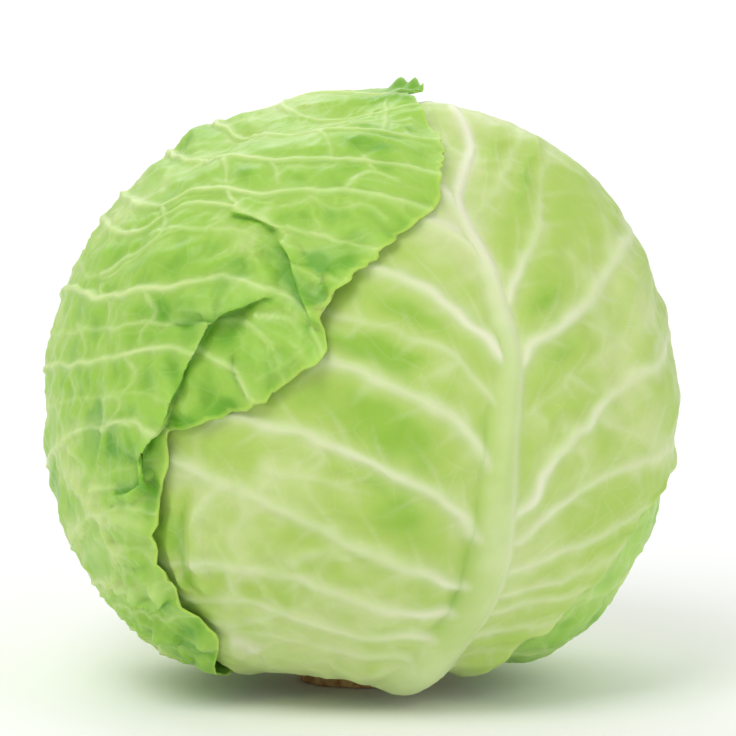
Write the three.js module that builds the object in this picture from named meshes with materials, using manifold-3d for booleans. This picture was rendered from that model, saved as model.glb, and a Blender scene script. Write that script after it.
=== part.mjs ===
// A head of white cabbage, as cut and set down on its stump: the dense heart with its own leaves' margins
// raised on it, three wrapper leaves that lie on it one over another, and the cut stump.
// Millimetres, +Z up, with the front towards -Y. The origin is the middle of the flat cut under the stump.
import * as THREE from "three";
import Module from "manifold-3d";
import { mergeVertices } from "three/addons/utils/BufferGeometryUtils.js";

// Driving sizes of the whole head.
const HEAD_WIDTH = 180;
const CENTRE_HEIGHT = 80.5; // of the point that every leaf is wrapped round, above the stump's cut
const BOTTOM_DEPTH = 73; // from that point down to the flattened underside
const HEART_BOTTOM_DEPTH = 59.5; // from that point down to the flat underside of the heart
const WRAPPER_DEPTH = 5.6; // from the outside of the head down to its core
const STUMP_RADIUS = 17.5;
const FOOT = -73.5; // latitude of the leaves' cut ends, round the stump
const FRONT_VIEW_TILT = 10; // degrees that the front view looks down, for the places given with seen()

// Driving sizes of a wrapper leaf.
const BLADE = 0.9; // thickness of the leaf between its veins
const GAP = 0.65; // clear space between a leaf and what it lies on
const PUCKER = 1.1; // how far the blade bulges between two side veins
const VEIN_HEIGHT = 1.5;
const VEIN_HALF_WIDTH = 2.6;
const RUFFLE = 1.6; // how far the margin waves off what it lies on
const NIBBLE = 1.3; // unevenness of the margin, within the blade

const RADIUS = HEAD_WIDTH / 2;
const DEGREE = Math.PI / 180;
const MM_PER_DEGREE = RADIUS * DEGREE;

// Places on the head, each a direction from its centre.

// The direction at an azimuth from the front, positive towards +X, and a latitude, in degrees.
function at(azimuth, latitude) {
  const level = Math.cos(latitude * DEGREE);
  const turn = azimuth * DEGREE;
  return new THREE.Vector3(level * Math.sin(turn), -level * Math.cos(turn), Math.sin(latitude * DEGREE));
}

const ACROSS = new THREE.Vector3(1, 0, 0);
const TOWARDS = at(0, FRONT_VIEW_TILT);
const UP = new THREE.Vector3().crossVectors(TOWARDS, ACROSS).normalize();

// A soft swelling of the head round one direction, 1 at its middle.
function swelling(direction, middle, width) {
  const angle = direction.angleTo(middle) / DEGREE;
  return Math.exp(-((angle / width) ** 2));
}

// Slow lobes of the head: height in mm, azimuth, latitude and width in degrees.
const LOBES = [
  [3.6, -84, -44, 30],
  [2.6, 86, -40, 26],
  [3, 78, 55, 20],
  [-3, 96, 8, 25],
  [-10.8, -20, 90, 38],
  [-2, -85, 60, 24],
  [6.2, -150, 79, 15],
  [2.2, 96, 28, 12],
  [-1.5, 88, -10, 10],
  [1.5, 111, 64, 12],
  [1.5, -97, 36, 22],
];

// Distance from the centre to the outside of the head: round, with a flattened underside and slow lobes.
function headRadius(direction) {
  let round = RADIUS - 0.8;
  for (const [height, azimuth, latitude, width] of LOBES)
    round += height * swelling(direction, at(azimuth, latitude), width);
  return flattened(round, BOTTOM_DEPTH, direction);
}

// A radius cut short, softly, by a level underside at a depth below the centre.
function flattened(radius, depth, direction) {
  if (direction.z >= 0) return radius;
  const flat = depth / Math.max(-direction.z, 0.05);
  const power = 20;
  return (radius ** -power + flat ** -power) ** (-1 / power);
}

// How far the outermost leaf stands above the round of the head: most on the crown, where the leaves meet.
function leafRise(direction) {
  return 2 + 6 * swelling(direction, at(0, 90), 45);
}

// The direction of a place that the front view shows, from its distances across and up from the centre.
function seen(across, up) {
  let depth = 0;
  let direction;
  for (let pass = 0; pass < 8; pass++) {
    direction = new THREE.Vector3()
      .addScaledVector(ACROSS, across)
      .addScaledVector(UP, up)
      .addScaledVector(TOWARDS, depth)
      .normalize();
    const surface = headRadius(direction) + leafRise(direction);
    depth = Math.sqrt(Math.max(0, surface ** 2 - across ** 2 - up ** 2));
  }
  return direction;
}

// A flat map of the head round one direction, in degrees of arc, for laying out a leaf.
class LeafMap {
  constructor(azimuth, latitude) {
    this.middle = at(azimuth, latitude);
    this.right = at(azimuth + 90, 0);
    this.up = new THREE.Vector3().crossVectors(this.middle, this.right).negate();
    if (this.up.z < 0) this.up.negate();
  }

  place(direction) {
    const angle = this.middle.angleTo(direction) / DEGREE;
    const side = direction.dot(this.right);
    const rise = direction.dot(this.up);
    const length = Math.hypot(side, rise) || 1;
    return new THREE.Vector3((angle * side) / length, (angle * rise) / length, 0);
  }

  direction(x, y) {
    const angle = Math.hypot(x, y);
    const share = angle ? Math.sin(angle * DEGREE) / angle : DEGREE;
    return new THREE.Vector3()
      .addScaledVector(this.middle, Math.cos(angle * DEGREE))
      .addScaledVector(this.right, x * share)
      .addScaledVector(this.up, y * share);
  }
}

// What a leaf lies on: the core and the leaves under it, smoothed so that the leaf is draped over them.
const CELL = 2; // degrees
const MAP_REACH = 144; // degrees from the map's middle to its edge
const CELLS = (2 * MAP_REACH) / CELL + 1;
const DRAPE = 4; // cells that the leaf takes to settle beside an edge under it

function spread(grid, reach, along, combine, start) {
  const made = new Float32Array(grid.length);
  for (let row = 0; row < CELLS; row++)
    for (let column = 0; column < CELLS; column++) {
      let total = start;
      for (let step = -reach; step <= reach; step++) {
        const r = Math.min(CELLS - 1, Math.max(0, along ? row + step : row));
        const c = Math.min(CELLS - 1, Math.max(0, along ? column : column + step));
        total = combine(total, grid[r * CELLS + c]);
      }
      made[row * CELLS + column] = total;
    }
  return made;
}

function groundUnder(map, leavesBelow) {
  let grid = new Float32Array(CELLS * CELLS);
  for (let row = 0; row < CELLS; row++)
    for (let column = 0; column < CELLS; column++)
      grid[row * CELLS + column] = coreRadius(
        map.direction(column * CELL - MAP_REACH, row * CELL - MAP_REACH),
      );
  const cellOf = (value) => Math.min(CELLS - 1, Math.max(0, Math.round((value + MAP_REACH) / CELL)));
  for (const leaf of leavesBelow)
    for (const { direction, radius } of leaf.samples) {
      const place = map.place(direction);
      const cell = cellOf(place.y) * CELLS + cellOf(place.x);
      grid[cell] = Math.max(grid[cell], radius);
    }
  const width = 2 * DRAPE + 1;
  for (const along of [true, false]) grid = spread(grid, DRAPE, along, Math.max, 0);
  for (const along of [true, false]) grid = spread(grid, DRAPE, along, (a, b) => a + b / width, 0);
  return (place) => {
    const x = Math.min(CELLS - 1.001, Math.max(0, (place.x + MAP_REACH) / CELL));
    const y = Math.min(CELLS - 1.001, Math.max(0, (place.y + MAP_REACH) / CELL));
    const [column, row] = [Math.floor(x), Math.floor(y)];
    const [fx, fy] = [x - column, y - row];
    const cell = row * CELLS + column;
    const low = grid[cell] * (1 - fx) + grid[cell + 1] * fx;
    const high = grid[cell + CELLS] * (1 - fx) + grid[cell + CELLS + 1] * fx;
    return low * (1 - fy) + high * fy;
  };
}

// The core of the heart: tightly folded leaves in one mass.
function coreRadius(direction) {
  return flattened(headRadius(direction) - WRAPPER_DEPTH, HEART_BOTTOM_DEPTH, direction);
}

function core() {
  const geometry = new THREE.IcosahedronGeometry(1, 7);
  const position = geometry.getAttribute("position");
  for (let i = 0; i < position.count; i++) {
    const direction = new THREE.Vector3().fromBufferAttribute(position, i).normalize();
    // 20 micrometres of rounding, so that shared corners of neighbouring faces stay one point
    direction.set(...direction.toArray().map((value) => Math.round(value * 5e4) / 5e4));
    const point = direction.clone().multiplyScalar(coreRadius(direction));
    position.setXYZ(i, point.x, point.y, point.z + CENTRE_HEIGHT);
  }
  return geometry;
}

// Solids are only joined here.
const solids = await Module();
solids.setup();

function solidOf(geometry) {
  const bare = geometry.index ? geometry.toNonIndexed() : geometry.clone();
  for (const attribute of ["normal", "uv"]) bare.deleteAttribute(attribute);
  const merged = mergeVertices(bare, 1e-3);
  const vertProperties = merged.getAttribute("position").array;
  return new solids.Manifold(
    new solids.Mesh({ numProp: 3, vertProperties, triVerts: new Uint32Array(merged.index.array) }),
  );
}

function geometryOf(solid) {
  const mesh = solid.getMesh();
  const geometry = new THREE.BufferGeometry();
  geometry.setAttribute("position", new THREE.BufferAttribute(mesh.vertProperties, 3));
  geometry.setIndex(new THREE.BufferAttribute(mesh.triVerts, 1));
  return geometry;
}

const smooth = (low, high, value) => {
  const t = Math.min(1, Math.max(0, (value - low) / (high - low)));
  return t * t * (3 - 2 * t);
};

// Leaves. A leaf is laid out in rows that run from its midrib to its margin the way its side veins do.
// Each given row starts at a station of the midrib, and its last place is on the margin.
const ROW_STEPS = 24; // points of a given row, for working out the rows between
const WIDEST_FACE = 16; // mm between two rows of faces where they are furthest apart
const CLOSEST_ROWS = 0.2; // stations between two rows of faces

function curveThrough(points) {
  return new THREE.CatmullRomCurve3(points, false, "centripetal");
}

// The rows of one side of a leaf, as a function of station and of share of the way to the margin.
function sideRows(rows, midrib, map) {
  const sorted = [...rows].sort((a, b) => a.from - b.from);
  const lines = sorted.map((row) => {
    const places = [midrib(row.from), ...row.through.map((direction) => map.place(direction))];
    return curveThrough(places).getSpacedPoints(ROW_STEPS);
  });
  const stations = sorted.map((row) => row.from);
  const last = stations.length - 1;

  const point = (k, share) => {
    const x = share * ROW_STEPS;
    const step = Math.min(ROW_STEPS - 1, Math.floor(x));
    return lines[k][step].clone().lerp(lines[k][step + 1], x - step);
  };
  const slope = (k, share) => {
    const [before, after] = [Math.max(0, k - 1), Math.min(last, k + 1)];
    return point(after, share).sub(point(before, share)).divideScalar(stations[after] - stations[before]);
  };
  const between = (k, t, share) => {
    const gap = stations[k + 1] - stations[k];
    return point(k, share)
      .multiplyScalar(2 * t ** 3 - 3 * t ** 2 + 1)
      .addScaledVector(point(k + 1, share), 3 * t ** 2 - 2 * t ** 3)
      .addScaledVector(slope(k, share), gap * (t ** 3 - 2 * t ** 2 + t))
      .addScaledVector(slope(k + 1, share), gap * (t ** 3 - t ** 2));
  };
  const place = (station, share) => {
    let k = 0;
    while (k < last - 1 && station > stations[k + 1]) k++;
    const t = (station - stations[k]) / (stations[k + 1] - stations[k]);
    const made = between(k, t, share);
    return made.addScaledVector(midrib(station).sub(between(k, t, 0)), (1 - share) ** 4);
  };

  // How high the side veins stand here, and where between two of them this place is.
  const veins = (station, share) => {
    const here = place(station, share);
    const taper = 1 - 0.8 * share;
    let height = 0;
    sorted.forEach((row, k) => {
      if (!row.vein) return;
      const halfWidth = VEIN_HALF_WIDTH * (0.5 + 0.5 * taper);
      const away = (here.distanceTo(point(k, share)) * MM_PER_DEGREE) / halfWidth;
      height = Math.max(height, VEIN_HEIGHT * row.vein * taper * Math.max(0, 1 - away ** 2));
    });
    let k = 0;
    while (k < last - 1 && station > stations[k + 1]) k++;
    const t = (station - stations[k]) / (stations[k + 1] - stations[k]);
    return { height, between: Math.sin(Math.PI * Math.min(1, Math.max(0, t))) };
  };
  return { stations, place, veins };
}

// Folds of the blade. Each is a line in the front view. Going along it, the blade on the right hand
// stands over the blade on the left hand.
function foldLift(fold, direction) {
  if (direction.dot(TOWARDS) < 0) return 0;
  const reach = headRadius(direction);
  const here = new THREE.Vector2(direction.dot(ACROSS) * reach, direction.dot(UP) * reach);
  let nearest = Infinity;
  let signed = 0;
  let along = 0;
  for (let i = 0; i + 1 < fold.line.length; i++) {
    const start = new THREE.Vector2(...fold.line[i]);
    const step = new THREE.Vector2(...fold.line[i + 1]).sub(start);
    const offset = here.clone().sub(start);
    const t = Math.min(1, Math.max(0, offset.dot(step) / step.lengthSq()));
    const distance = offset.distanceTo(step.clone().multiplyScalar(t));
    if (distance < nearest) {
      nearest = distance;
      signed = Math.sign(offset.cross(step)) * distance;
      along = (i + t) / (fold.line.length - 1);
    }
  }
  const ends = smooth(0, 0.15, along) * smooth(0, 0.15, 1 - along);
  const side = signed < 0 ? smooth(-fold.lip, 0, signed) : smooth(fold.reach, 0, signed);
  return fold.height * ends * side;
}

function leafSolid(leaf, ground) {
  const map = leaf.map;
  const ribCurve = curveThrough(leaf.midrib.map((direction) => map.place(direction)));
  const lastStation = leaf.midrib.length - 1;
  const midrib = (station) => ribCurve.getPoint(Math.min(1, Math.max(0, station / lastStation)));
  const ribPoints = ribCurve.getPoints(4 * lastStation);
  const sides = [leaf.right, leaf.left].map((rows) => sideRows(rows, midrib, map));
  const columns = leaf.columns; // of faces, from midrib to margin

  // Rows of faces stand on every given row of either side, with more where those are far apart.
  const stations = [...new Set(sides.flatMap((side) => side.stations))].sort((a, b) => a - b);
  for (let i = stations.length - 2; i > 0; i--)
    if (stations[i + 1] - stations[i] < CLOSEST_ROWS) stations.splice(i, 1);
  for (let i = stations.length - 1; i > 0; i--) {
    const [before, gap] = [stations[i - 1], stations[i] - stations[i - 1]];
    const apart = (side, share) => side.place(before, share).distanceTo(side.place(before + gap, share));
    const furthest = Math.max(...sides.flatMap((side) => [0.4, 0.7, 1].map((share) => apart(side, share))));
    const extra = Math.ceil((furthest * MM_PER_DEGREE) / WIDEST_FACE) - 1;
    for (let n = extra; n > 0; n--) stations.splice(i, 0, before + (gap * n) / (extra + 1));
  }

  const ribHeight = (place, station) => {
    let distance = Infinity;
    for (const point of ribPoints) distance = Math.min(distance, point.distanceTo(place));
    const left = 1 - station / lastStation;
    const halfWidth = leaf.ribHalfWidth * (0.16 + 0.84 * left ** 1.1);
    const away = (distance * MM_PER_DEGREE) / halfWidth;
    const foot = 0.25 + 0.75 * smooth(0, 3, station); // flat where it clasps the stump
    return leaf.ribHeight * foot * (0.14 + 0.86 * left ** 1.3) * Math.max(0, 1 - away ** 2);
  };

  const lay = (side, station, share, nibble, wave) => {
    const place = side.place(station, share);
    const margin = smooth(0.8, 1, share);
    const inward = side.place(station, Math.max(0, share - 0.05));
    place.addScaledVector(place.clone().sub(inward).normalize(), (nibble * margin) / MM_PER_DEGREE);
    const direction = map.direction(place.x, place.y);
    const vein = side.veins(station, share);
    const folds = (leaf.folds || []).reduce((sum, fold) => sum + foldLift(fold, direction), 0);
    const curl = (leaf.curls || []).reduce(
      (sum, c) => sum + c.height * swelling(direction, c.middle, c.width) * margin,
      0,
    );
    const lift =
      PUCKER * leaf.pucker * vein.between * Math.sin(Math.PI * share ** 0.8) + wave * margin + folds + curl;
    const inner = ground(place) + GAP + lift;
    const outer = inner + BLADE + Math.max(ribHeight(place, station), vein.height);
    return { direction, inner: leaf.inHeart ? 0.9 * coreRadius(direction) : inner, outer };
  };

  // One fan of rows: up the right side from the base, and down the left side from the tip.
  const fan = [];
  for (const side of sides) {
    let length = 0;
    let last = side.place(0, 1);
    const rows = stations.map((station) => {
      length += side.place(station, 1).distanceTo(last) * MM_PER_DEGREE;
      last = side.place(station, 1);
      const nibble = NIBBLE * Math.sin(length / 5.1 + leaf.seed) * Math.sin(length / 17 + 1);
      const wave = RUFFLE * (0.5 + 0.5 * Math.sin(length / 8.3 + leaf.seed) * Math.sin(length / 23));
      return Array.from({ length: columns }, (_, i) => {
        const share = ((i + 1) / columns) ** 1.35;
        return lay(side, station, share, nibble, wave);
      });
    });
    fan.push(side === sides[0] ? rows : rows.reverse().slice(1));
  }
  const ribs = stations.map((station) => lay(sides[0], station, 0, 0, 0));
  const rowsOut = fan.flat();
  const ribOf = (row) => (row < stations.length ? row : 2 * (stations.length - 1) - row);

  const corners = [...ribs, ...rowsOut.flat()];
  const cornerOf = (row, column) => (column ? ribs.length + row * columns + column - 1 : ribOf(row));
  const points = corners.flatMap(({ direction, inner, outer }) => [
    ...direction.clone().multiplyScalar(outer).toArray(),
    ...direction.clone().multiplyScalar(inner).toArray(),
  ]);
  const faces = [];
  const outerFace = (a, b, c) => {
    if (a === b || b === c || a === c) return;
    faces.push(2 * a, 2 * b, 2 * c, 2 * a + 1, 2 * c + 1, 2 * b + 1);
  };
  const edge = [];
  for (let row = 0; row + 1 < rowsOut.length; row++) {
    for (let column = 0; column < columns; column++) {
      const [a, b] = [cornerOf(row, column), cornerOf(row, column + 1)];
      const [c, d] = [cornerOf(row + 1, column + 1), cornerOf(row + 1, column)];
      // a face is split along its shorter diagonal, the same way outside and inside
      const across = (p, q) => corners[p].direction.distanceTo(corners[q].direction);
      if (across(a, c) <= across(b, d)) {
        outerFace(a, b, c);
        outerFace(a, c, d);
      } else {
        outerFace(a, b, d);
        outerFace(b, c, d);
      }
    }
    edge.push([cornerOf(row, columns), cornerOf(row + 1, columns)]);
  }
  // The cut end of the stalk closes the fan along its first and last rows.
  for (let column = 0; column < columns; column++) {
    edge.push([cornerOf(0, column), cornerOf(0, column + 1)]);
    edge.push([cornerOf(rowsOut.length - 1, column + 1), cornerOf(rowsOut.length - 1, column)]);
  }
  for (const [a, b] of edge) faces.push(2 * a, 2 * a + 1, 2 * b + 1, 2 * a, 2 * b + 1, 2 * b);

  const geometry = new THREE.BufferGeometry();
  geometry.setAttribute("position", new THREE.Float32BufferAttribute(points, 3));
  geometry.setIndex(faces);
  geometry.translate(0, 0, CENTRE_HEIGHT);

  // Places on the outside of the leaf, close together, for the leaves that lie on it.
  const samples = [];
  const parts = 3;
  for (let row = 0; row + 1 < rowsOut.length; row++)
    for (let column = 0; column < columns; column++) {
      const [a, b] = [corners[cornerOf(row, column)], corners[cornerOf(row, column + 1)]];
      const [c, d] = [corners[cornerOf(row + 1, column + 1)], corners[cornerOf(row + 1, column)]];
      for (let i = 0; i <= parts; i++)
        for (let j = 0; j <= parts; j++) {
          const [u, v] = [i / parts, j / parts];
          const share = [(1 - u) * (1 - v), u * (1 - v), u * v, (1 - u) * v];
          const direction = new THREE.Vector3();
          let radius = 0;
          [a, b, c, d].forEach((corner, k) => {
            direction.addScaledVector(corner.direction, share[k]);
            radius += corner.outer * share[k];
          });
          samples.push({ direction: direction.normalize(), radius });
        }
    }
  return { geometry, samples };
}

// A row that runs from a midrib station through places in the front view to the margin.
const row = (from, vein, ...through) => ({
  from,
  vein,
  through: through.map((place) => (place.isVector3 ? place : seen(...place))),
});

// The front leaf: a broad pale leaf whose midrib stands up the front of the head, right of the middle.
const frontLeaf = {
  name: "leaf_front",
  columns: 11,
  colour: "#cfe39a",
  seed: 11,
  map: new LeafMap(8, 8),
  pucker: 0.7,
  ribHalfWidth: 11.5,
  ribHeight: 6,
  midrib: [
    at(12, FOOT),
    at(15, -66),
    at(18, -57),
    seen(25, -71),
    seen(31, -64),
    seen(35.5, -56),
    seen(38.5, -48),
    seen(40, -38),
    seen(41, -26),
    seen(42, -13),
    seen(43.5, 0),
    seen(44.5, 11),
    seen(42.5, 21),
    seen(40.5, 31),
    seen(37, 41),
    seen(32, 50),
    seen(29, 58),
    seen(31, 67),
    seen(33.5, 75),
    at(82, 72),
    at(112, 71),
    at(136, 60),
  ],
  right: [
    row(0, 0, at(28, FOOT + 0.5), at(44, FOOT + 1.5)),
    row(1, 0, at(27, -65), at(42, -62)),
    row(2.2, 0.3, [33, -74], [38, -72.5], [45, -71]),
    row(3.3, 0.6, [37, -68], [42, -66.5], [48, -65], [56.5, -62.5]),
    row(4.1, 0.7, [41, -62], [46, -60], [52, -58], [57, -56.5], [65, -52.5]),
    row(4.8, 0.7, [44, -56.5], [53, -53.5], [63, -48.5], [74, -42]),
    row(5.6, 0.9, [46.5, -50], [55, -46], [65, -41], [75, -34], [80.5, -30]),
    row(6.5, 0.9, [48.5, -40.5], [54, -34.5], [66, -26], [76, -19.5], [88, -11]),
    row(
      7.2, 1.2, [49, -31], [53, -23.5], [58, -15.5], [66, -8], [74, 1.5], [83, 9.5], at(88, 12),
      at(101, 10),
    ),
    row(9.2, 0.2, [48, -6], [57, 2], [68, 10], [79, 19], at(90, 20), at(107, 20)),
    row(10.6, 1.2, [50, 15], [60, 22], [69, 31], [74, 41], [78, 50], at(112, 31)),
    row(12.2, 0.9, [43.5, 30], [48.5, 40.5], [53.5, 49.5], [54, 60], [54, 67], at(104, 50), at(122, 44)),
    row(15, 0.3, [34.5, 54], [40, 61], [44, 68], at(88, 59), at(110, 55), at(131, 43)),
    row(18.4, 0.2, at(78, 67), at(100, 66), at(120, 58), at(139, 42)),
    row(21, 0.4, at(141, 53), at(145, 44)),
  ],
  left: [
    row(0, 0, at(-2, FOOT + 0.5), at(-20, FOOT + 1.5)),
    row(0.9, 0.2, at(3, -65), at(-14, -62), at(-32, -58), at(-43, -55)),
    row(2.3, 0.7, [13, -72.5], [-4, -73], [-20, -70], [-38, -67.5], [-49, -65]),
    row(3.2, 0.9, [16, -66.5], [0, -67.5], [-14, -65], [-30, -59], [-46, -58.5], [-54, -59]),
    row(4.1, 1, [22, -61.5], [10, -60], [-6, -56], [-20, -51.5], [-36, -49.2], [-52, -47.5], [-63, -47]),
    row(
      5.2, 1, [27, -53.5], [15, -48], [1, -42.8], [-16, -35.5], [-30, -28.3], [-43, -23.8], [-54, -21],
      [-66, -19],
    ),
    row(
      6.6, 1.1, [33.5, -39], [27, -30.5], [16, -24.3], [3, -18], [-15, -10.7], [-35, -5.7], [-55, -2],
      [-68, 2],
    ),
    row(8.3, 1.1, [36.5, -17], [28, -6.5], [15, 1], [0, 8], [-8, 10.5], [-25, 16], [-45, 22], [-62, 28]),
    row(9.6, 0.5, [37, 2], [28, 11], [10, 19], [-7, 24], [-25, 33], [-52, 48]),
    row(10.7, 1.2, [40, 14.5], [30, 23.5], [20, 30.2], [5, 36.8], [-12, 45], [-40, 64]),
    row(13.8, 0.8, [30, 46.5], [21, 49.3], [8, 57], [-6, 68], at(-60, 73)),
    row(15.7, 0.9, [24, 60], [16, 66], [9, 74], at(-20, 82), at(-150, 76)),
    row(17.3, 0.3, at(60, 77), at(120, 82), at(-178, 64)),
    row(19.3, 0.4, at(104, 76), at(142, 68), at(164, 53)),
    row(21, 0.4, at(141, 53), at(145, 44)),
  ],
  curls: [{ height: 0.8, middle: at(-8, -62), width: 20 }],
};

// The left leaf: the outermost, greener, wrapped from behind over the left side, the crown
// and the front leaf.
const leftLeaf = {
  name: "leaf_left",
  columns: 11,
  colour: "#a4cf5c",
  seed: 23,
  map: new LeafMap(-100, 12),
  pucker: 1.2,
  ribHalfWidth: 10,
  ribHeight: 5,
  midrib: [
    at(-128, FOOT),
    at(-126, -66),
    at(-124, -54),
    at(-123, -42),
    at(-122, -30),
    at(-122, -18),
    at(-122, -6),
    at(-122, 6),
    at(-122, 18),
    at(-123, 30),
    at(-124, 42),
    at(-126, 54),
    at(-130, 66),
    at(-138, 76),
    at(-170, 85),
    at(110, 84),
  ],
  right: [
    row(0, 0, at(-112, FOOT + 0.5), at(-98, FOOT + 1.5)),
    row(0.5, 0.2, at(-105, -70), at(-84, -65), at(-56, -61)),
    row(0.9, 0.6, at(-100, -65), [-56, -70], [-50, -71], [-39.5, -71]),
    row(1.5, 0.6, at(-104, -58), [-70, -60], [-57, -62], [-46, -61]),
    row(2.1, 0.9, at(-106, -49), [-76, -53], [-67, -54.5], [-60, -54], [-52.5, -50.5]),
    row(2.5, 0.3, at(-106, -43), [-77, -44], [-68, -42], [-56.3, -41]),
    row(2.9, 0.9, at(-106, -36), [-81, -38], [-74, -33], [-66, -31.3], [-56, -32]),
    row(3.4, 0.2, at(-105, -28), [-84, -22], [-74, -22], [-62, -19], [-53, -20]),
    row(3.9, 1, at(-106, -20), [-87, -14], [-80, -9], [-72, -8], [-60, -5.5], [-52.5, -11]),
    row(4.6, 0.3, at(-105, -9), [-84, -1], [-70, 1], [-55, 1], [-46, -8.5]),
    row(5.1, 1, at(-104, -1), [-85, 10], [-70, 11.3], [-50, 14.5], [-42, 11.5], [-32, 5.5], [-28.5, -2]),
    row(5.9, 0.5, at(-104, 8), [-82, 19], [-60, 21], [-44, 21.5], [-32, 20], [-22, 12], [-20.5, 4.5]),
    row(
      6.6, 1.2, at(-104, 16), [-81, 31.5], [-70, 29], [-48, 32], [-35, 34], [-20, 28.5], [-14, 21],
      [-9, 12],
    ),
    row(7.2, 0, at(-104, 22), [-77, 33], [-65, 37.5], [-48, 42], [-32, 41], [-18, 32], [-9.4, 24.6]),
    row(7.6, 0.4, at(-104, 26), [-75, 35], [-62, 42], [-48, 47.6], [-30, 45.5], [-16, 36], [-2.4, 31.5]),
    row(8.3, 0.9, at(-104, 33), [-66, 48.5], [-48, 55], [-34, 54], [-18, 47.5], [-5, 42.5], [7, 40.5]),
    row(8.9, 1.1, at(-104, 39), [-60, 56], [-45, 59], [-20, 57.8], [0, 56.5], [20.5, 52]),
    row(10.2, 1, at(-104, 51), [-45, 69.5], [-25, 67.2], [-5, 66.5], [8, 65], [23, 62]),
    row(11.3, 0.9, at(-104, 62), [-30, 77.5], [-12, 75], [5, 74.3], [24, 73]),
    row(12.5, 0.8, [-18, 83.5], [-5, 82.3], [8, 82.8], [17.5, 82.5]),
    row(15, 0.6, at(92, 82.5), at(82, 80.5)),
  ],
  left: [
    row(0, 0, at(-142, FOOT + 0.5), at(-152, FOOT + 1.5)),
    row(1, 0.3, at(-142, -64), at(-160, -60)),
    row(2, 0.8, at(-140, -50), at(-158, -46), at(-172, -44)),
    row(3.2, 0.9, at(-140, -35), at(-164, -30), at(-183, -27)),
    row(4.4, 1, at(-140, -20), at(-166, -14), at(-189, -10)),
    row(5.7, 1, at(-140, -3), at(-166, 4), at(-191, 8)),
    row(7, 1, at(-140, 14), at(-165, 22), at(-189, 26)),
    row(8.3, 0.9, at(-140, 30), at(-164, 39), at(-186, 43)),
    row(9.8, 0.8, at(-144, 46), at(-168, 55), at(-188, 57)),
    row(11.4, 0.7, at(-150, 61), at(-176, 67), at(-200, 66)),
    row(13, 0.5, at(-175, 78), at(-215, 77), at(-236, 76)),
    row(15, 0.6, at(92, 82.5), at(82, 80.5)),
  ],
  folds: [
    {
      height: 3.8,
      reach: 18,
      lip: 5,
      line: [
        [-19, 28.5],
        [-32.5, 25],
        [-40, 22],
        [-44, 15],
        [-51.7, -1],
        [-53.6, -7],
        [-61, -17],
        [-66, -21],
      ],
    },
    { height: 3, reach: 9, lip: 4, line: [[-25, 46], [-19, 40], [-15, 29], [-12, 20]].reverse() },
    { height: 2.6, reach: 10, lip: 4, line: [[-23, 47], [-30, 51.5], [-38, 52]] },
    {
      height: 2.2,
      reach: 14,
      lip: 4,
      line: [[-56, -18], [-56.5, -30], [-56.5, -42], [-52, -51], [-46, -60]],
    },
  ],
  curls: [
    { height: 7, middle: at(138, 78), width: 7 },
    { height: 2.2, middle: seen(-3.5, 31), width: 4 },
    { height: 0.8, middle: at(-55, -60), width: 16 },
  ],
};

// A leaf given only by its midrib's azimuth, its reach and how many side veins it has,
// for the sides that lie hidden.
function plainLeaf({ azimuth, halfWidth, tip, veins, ...given }) {
  const base = FOOT;
  const stations = veins + 1;
  const map = new LeafMap(azimuth, 0);
  const midrib = Array.from({ length: stations + 1 }, (_, k) =>
    map.direction(0, base + ((tip - base) * k) / stations),
  );
  const side = (sign) =>
    Array.from({ length: stations + 1 }, (_, k) => {
      const share = k / stations;
      const from = map.place(midrib[k]);
      const turn = 5 + 171 * share ** 0.9;
      const lengthwise = tip + 12 - base;
      const end = new THREE.Vector3(
        sign * (halfWidth * Math.sin(turn * DEGREE) ** 0.75 + 2),
        (base + tip + 12) / 2 - (lengthwise / 2) * Math.cos(turn * DEGREE),
        0,
      );
      const bend = new THREE.Vector3((from.x * 1.2 + end.x) / 2.2, from.y + (end.y - from.y) * 0.34, 0);
      return {
        from: k,
        vein: k === 0 || k === stations ? 0 : 0.9 - 0.4 * share,
        through: [map.direction(bend.x, bend.y), map.direction(end.x, end.y)],
      };
    });
  return { ...given, map, pucker: 1, midrib, right: side(1), left: side(-1) };
}

const rearLeaf = plainLeaf({
  name: "leaf_rear",
  columns: 10,
  colour: "#a9cf66",
  seed: 37,
  azimuth: 146,
  halfWidth: 74,
  tip: 86,
  veins: 10,
  ribHalfWidth: 10.5,
  ribHeight: 5.2,
});
// On the right flank it reaches far round, under the front leaf's margin.
rearLeaf.left = [
  row(0, 0, at(126, FOOT + 0.5), at(108, FOOT + 1.5)),
  row(1, 0.6, at(112, -61), at(82, -61), at(58, -58)),
  row(2, 0.9, at(112, -46), at(76, -48), at(42, -50)),
  row(3, 0.9, at(112, -30), at(80, -32), at(51, -34)),
  row(4, 0.9, at(112, -14), at(84, -13), at(60, -14)),
  row(5, 0.8, at(112, 2), at(87, 7), at(68, 8)),
  row(6, 0.8, at(112, 17), at(90, 24), at(74, 28)),
  row(7, 0.7, at(112, 32), at(92, 41), at(77, 45)),
  row(8, 0.7, at(114, 47), at(95, 57), at(80, 61)),
  row(9, 0.6, at(118, 61), at(98, 70), at(82, 74)),
  row(10, 0.5, at(126, 75), at(100, 82), at(50, 84)),
  row(11, 0, at(40, 87), at(10, 84)),
];
const heartLeftLeaf = plainLeaf({
  inHeart: true, // reaches down into the core, to be one body with it
  columns: 9,
  seed: 41,
  azimuth: -62,
  halfWidth: 66,
  tip: 70,
  veins: 7,
  ribHalfWidth: 8,
  ribHeight: 2.6,
});
const heartRightLeaf = plainLeaf({
  inHeart: true, // reaches down into the core, to be one body with it
  columns: 9,
  seed: 53,
  azimuth: 72,
  halfWidth: 66,
  tip: 70,
  veins: 7,
  ribHalfWidth: 8,
  ribHeight: 2.6,
});

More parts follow.
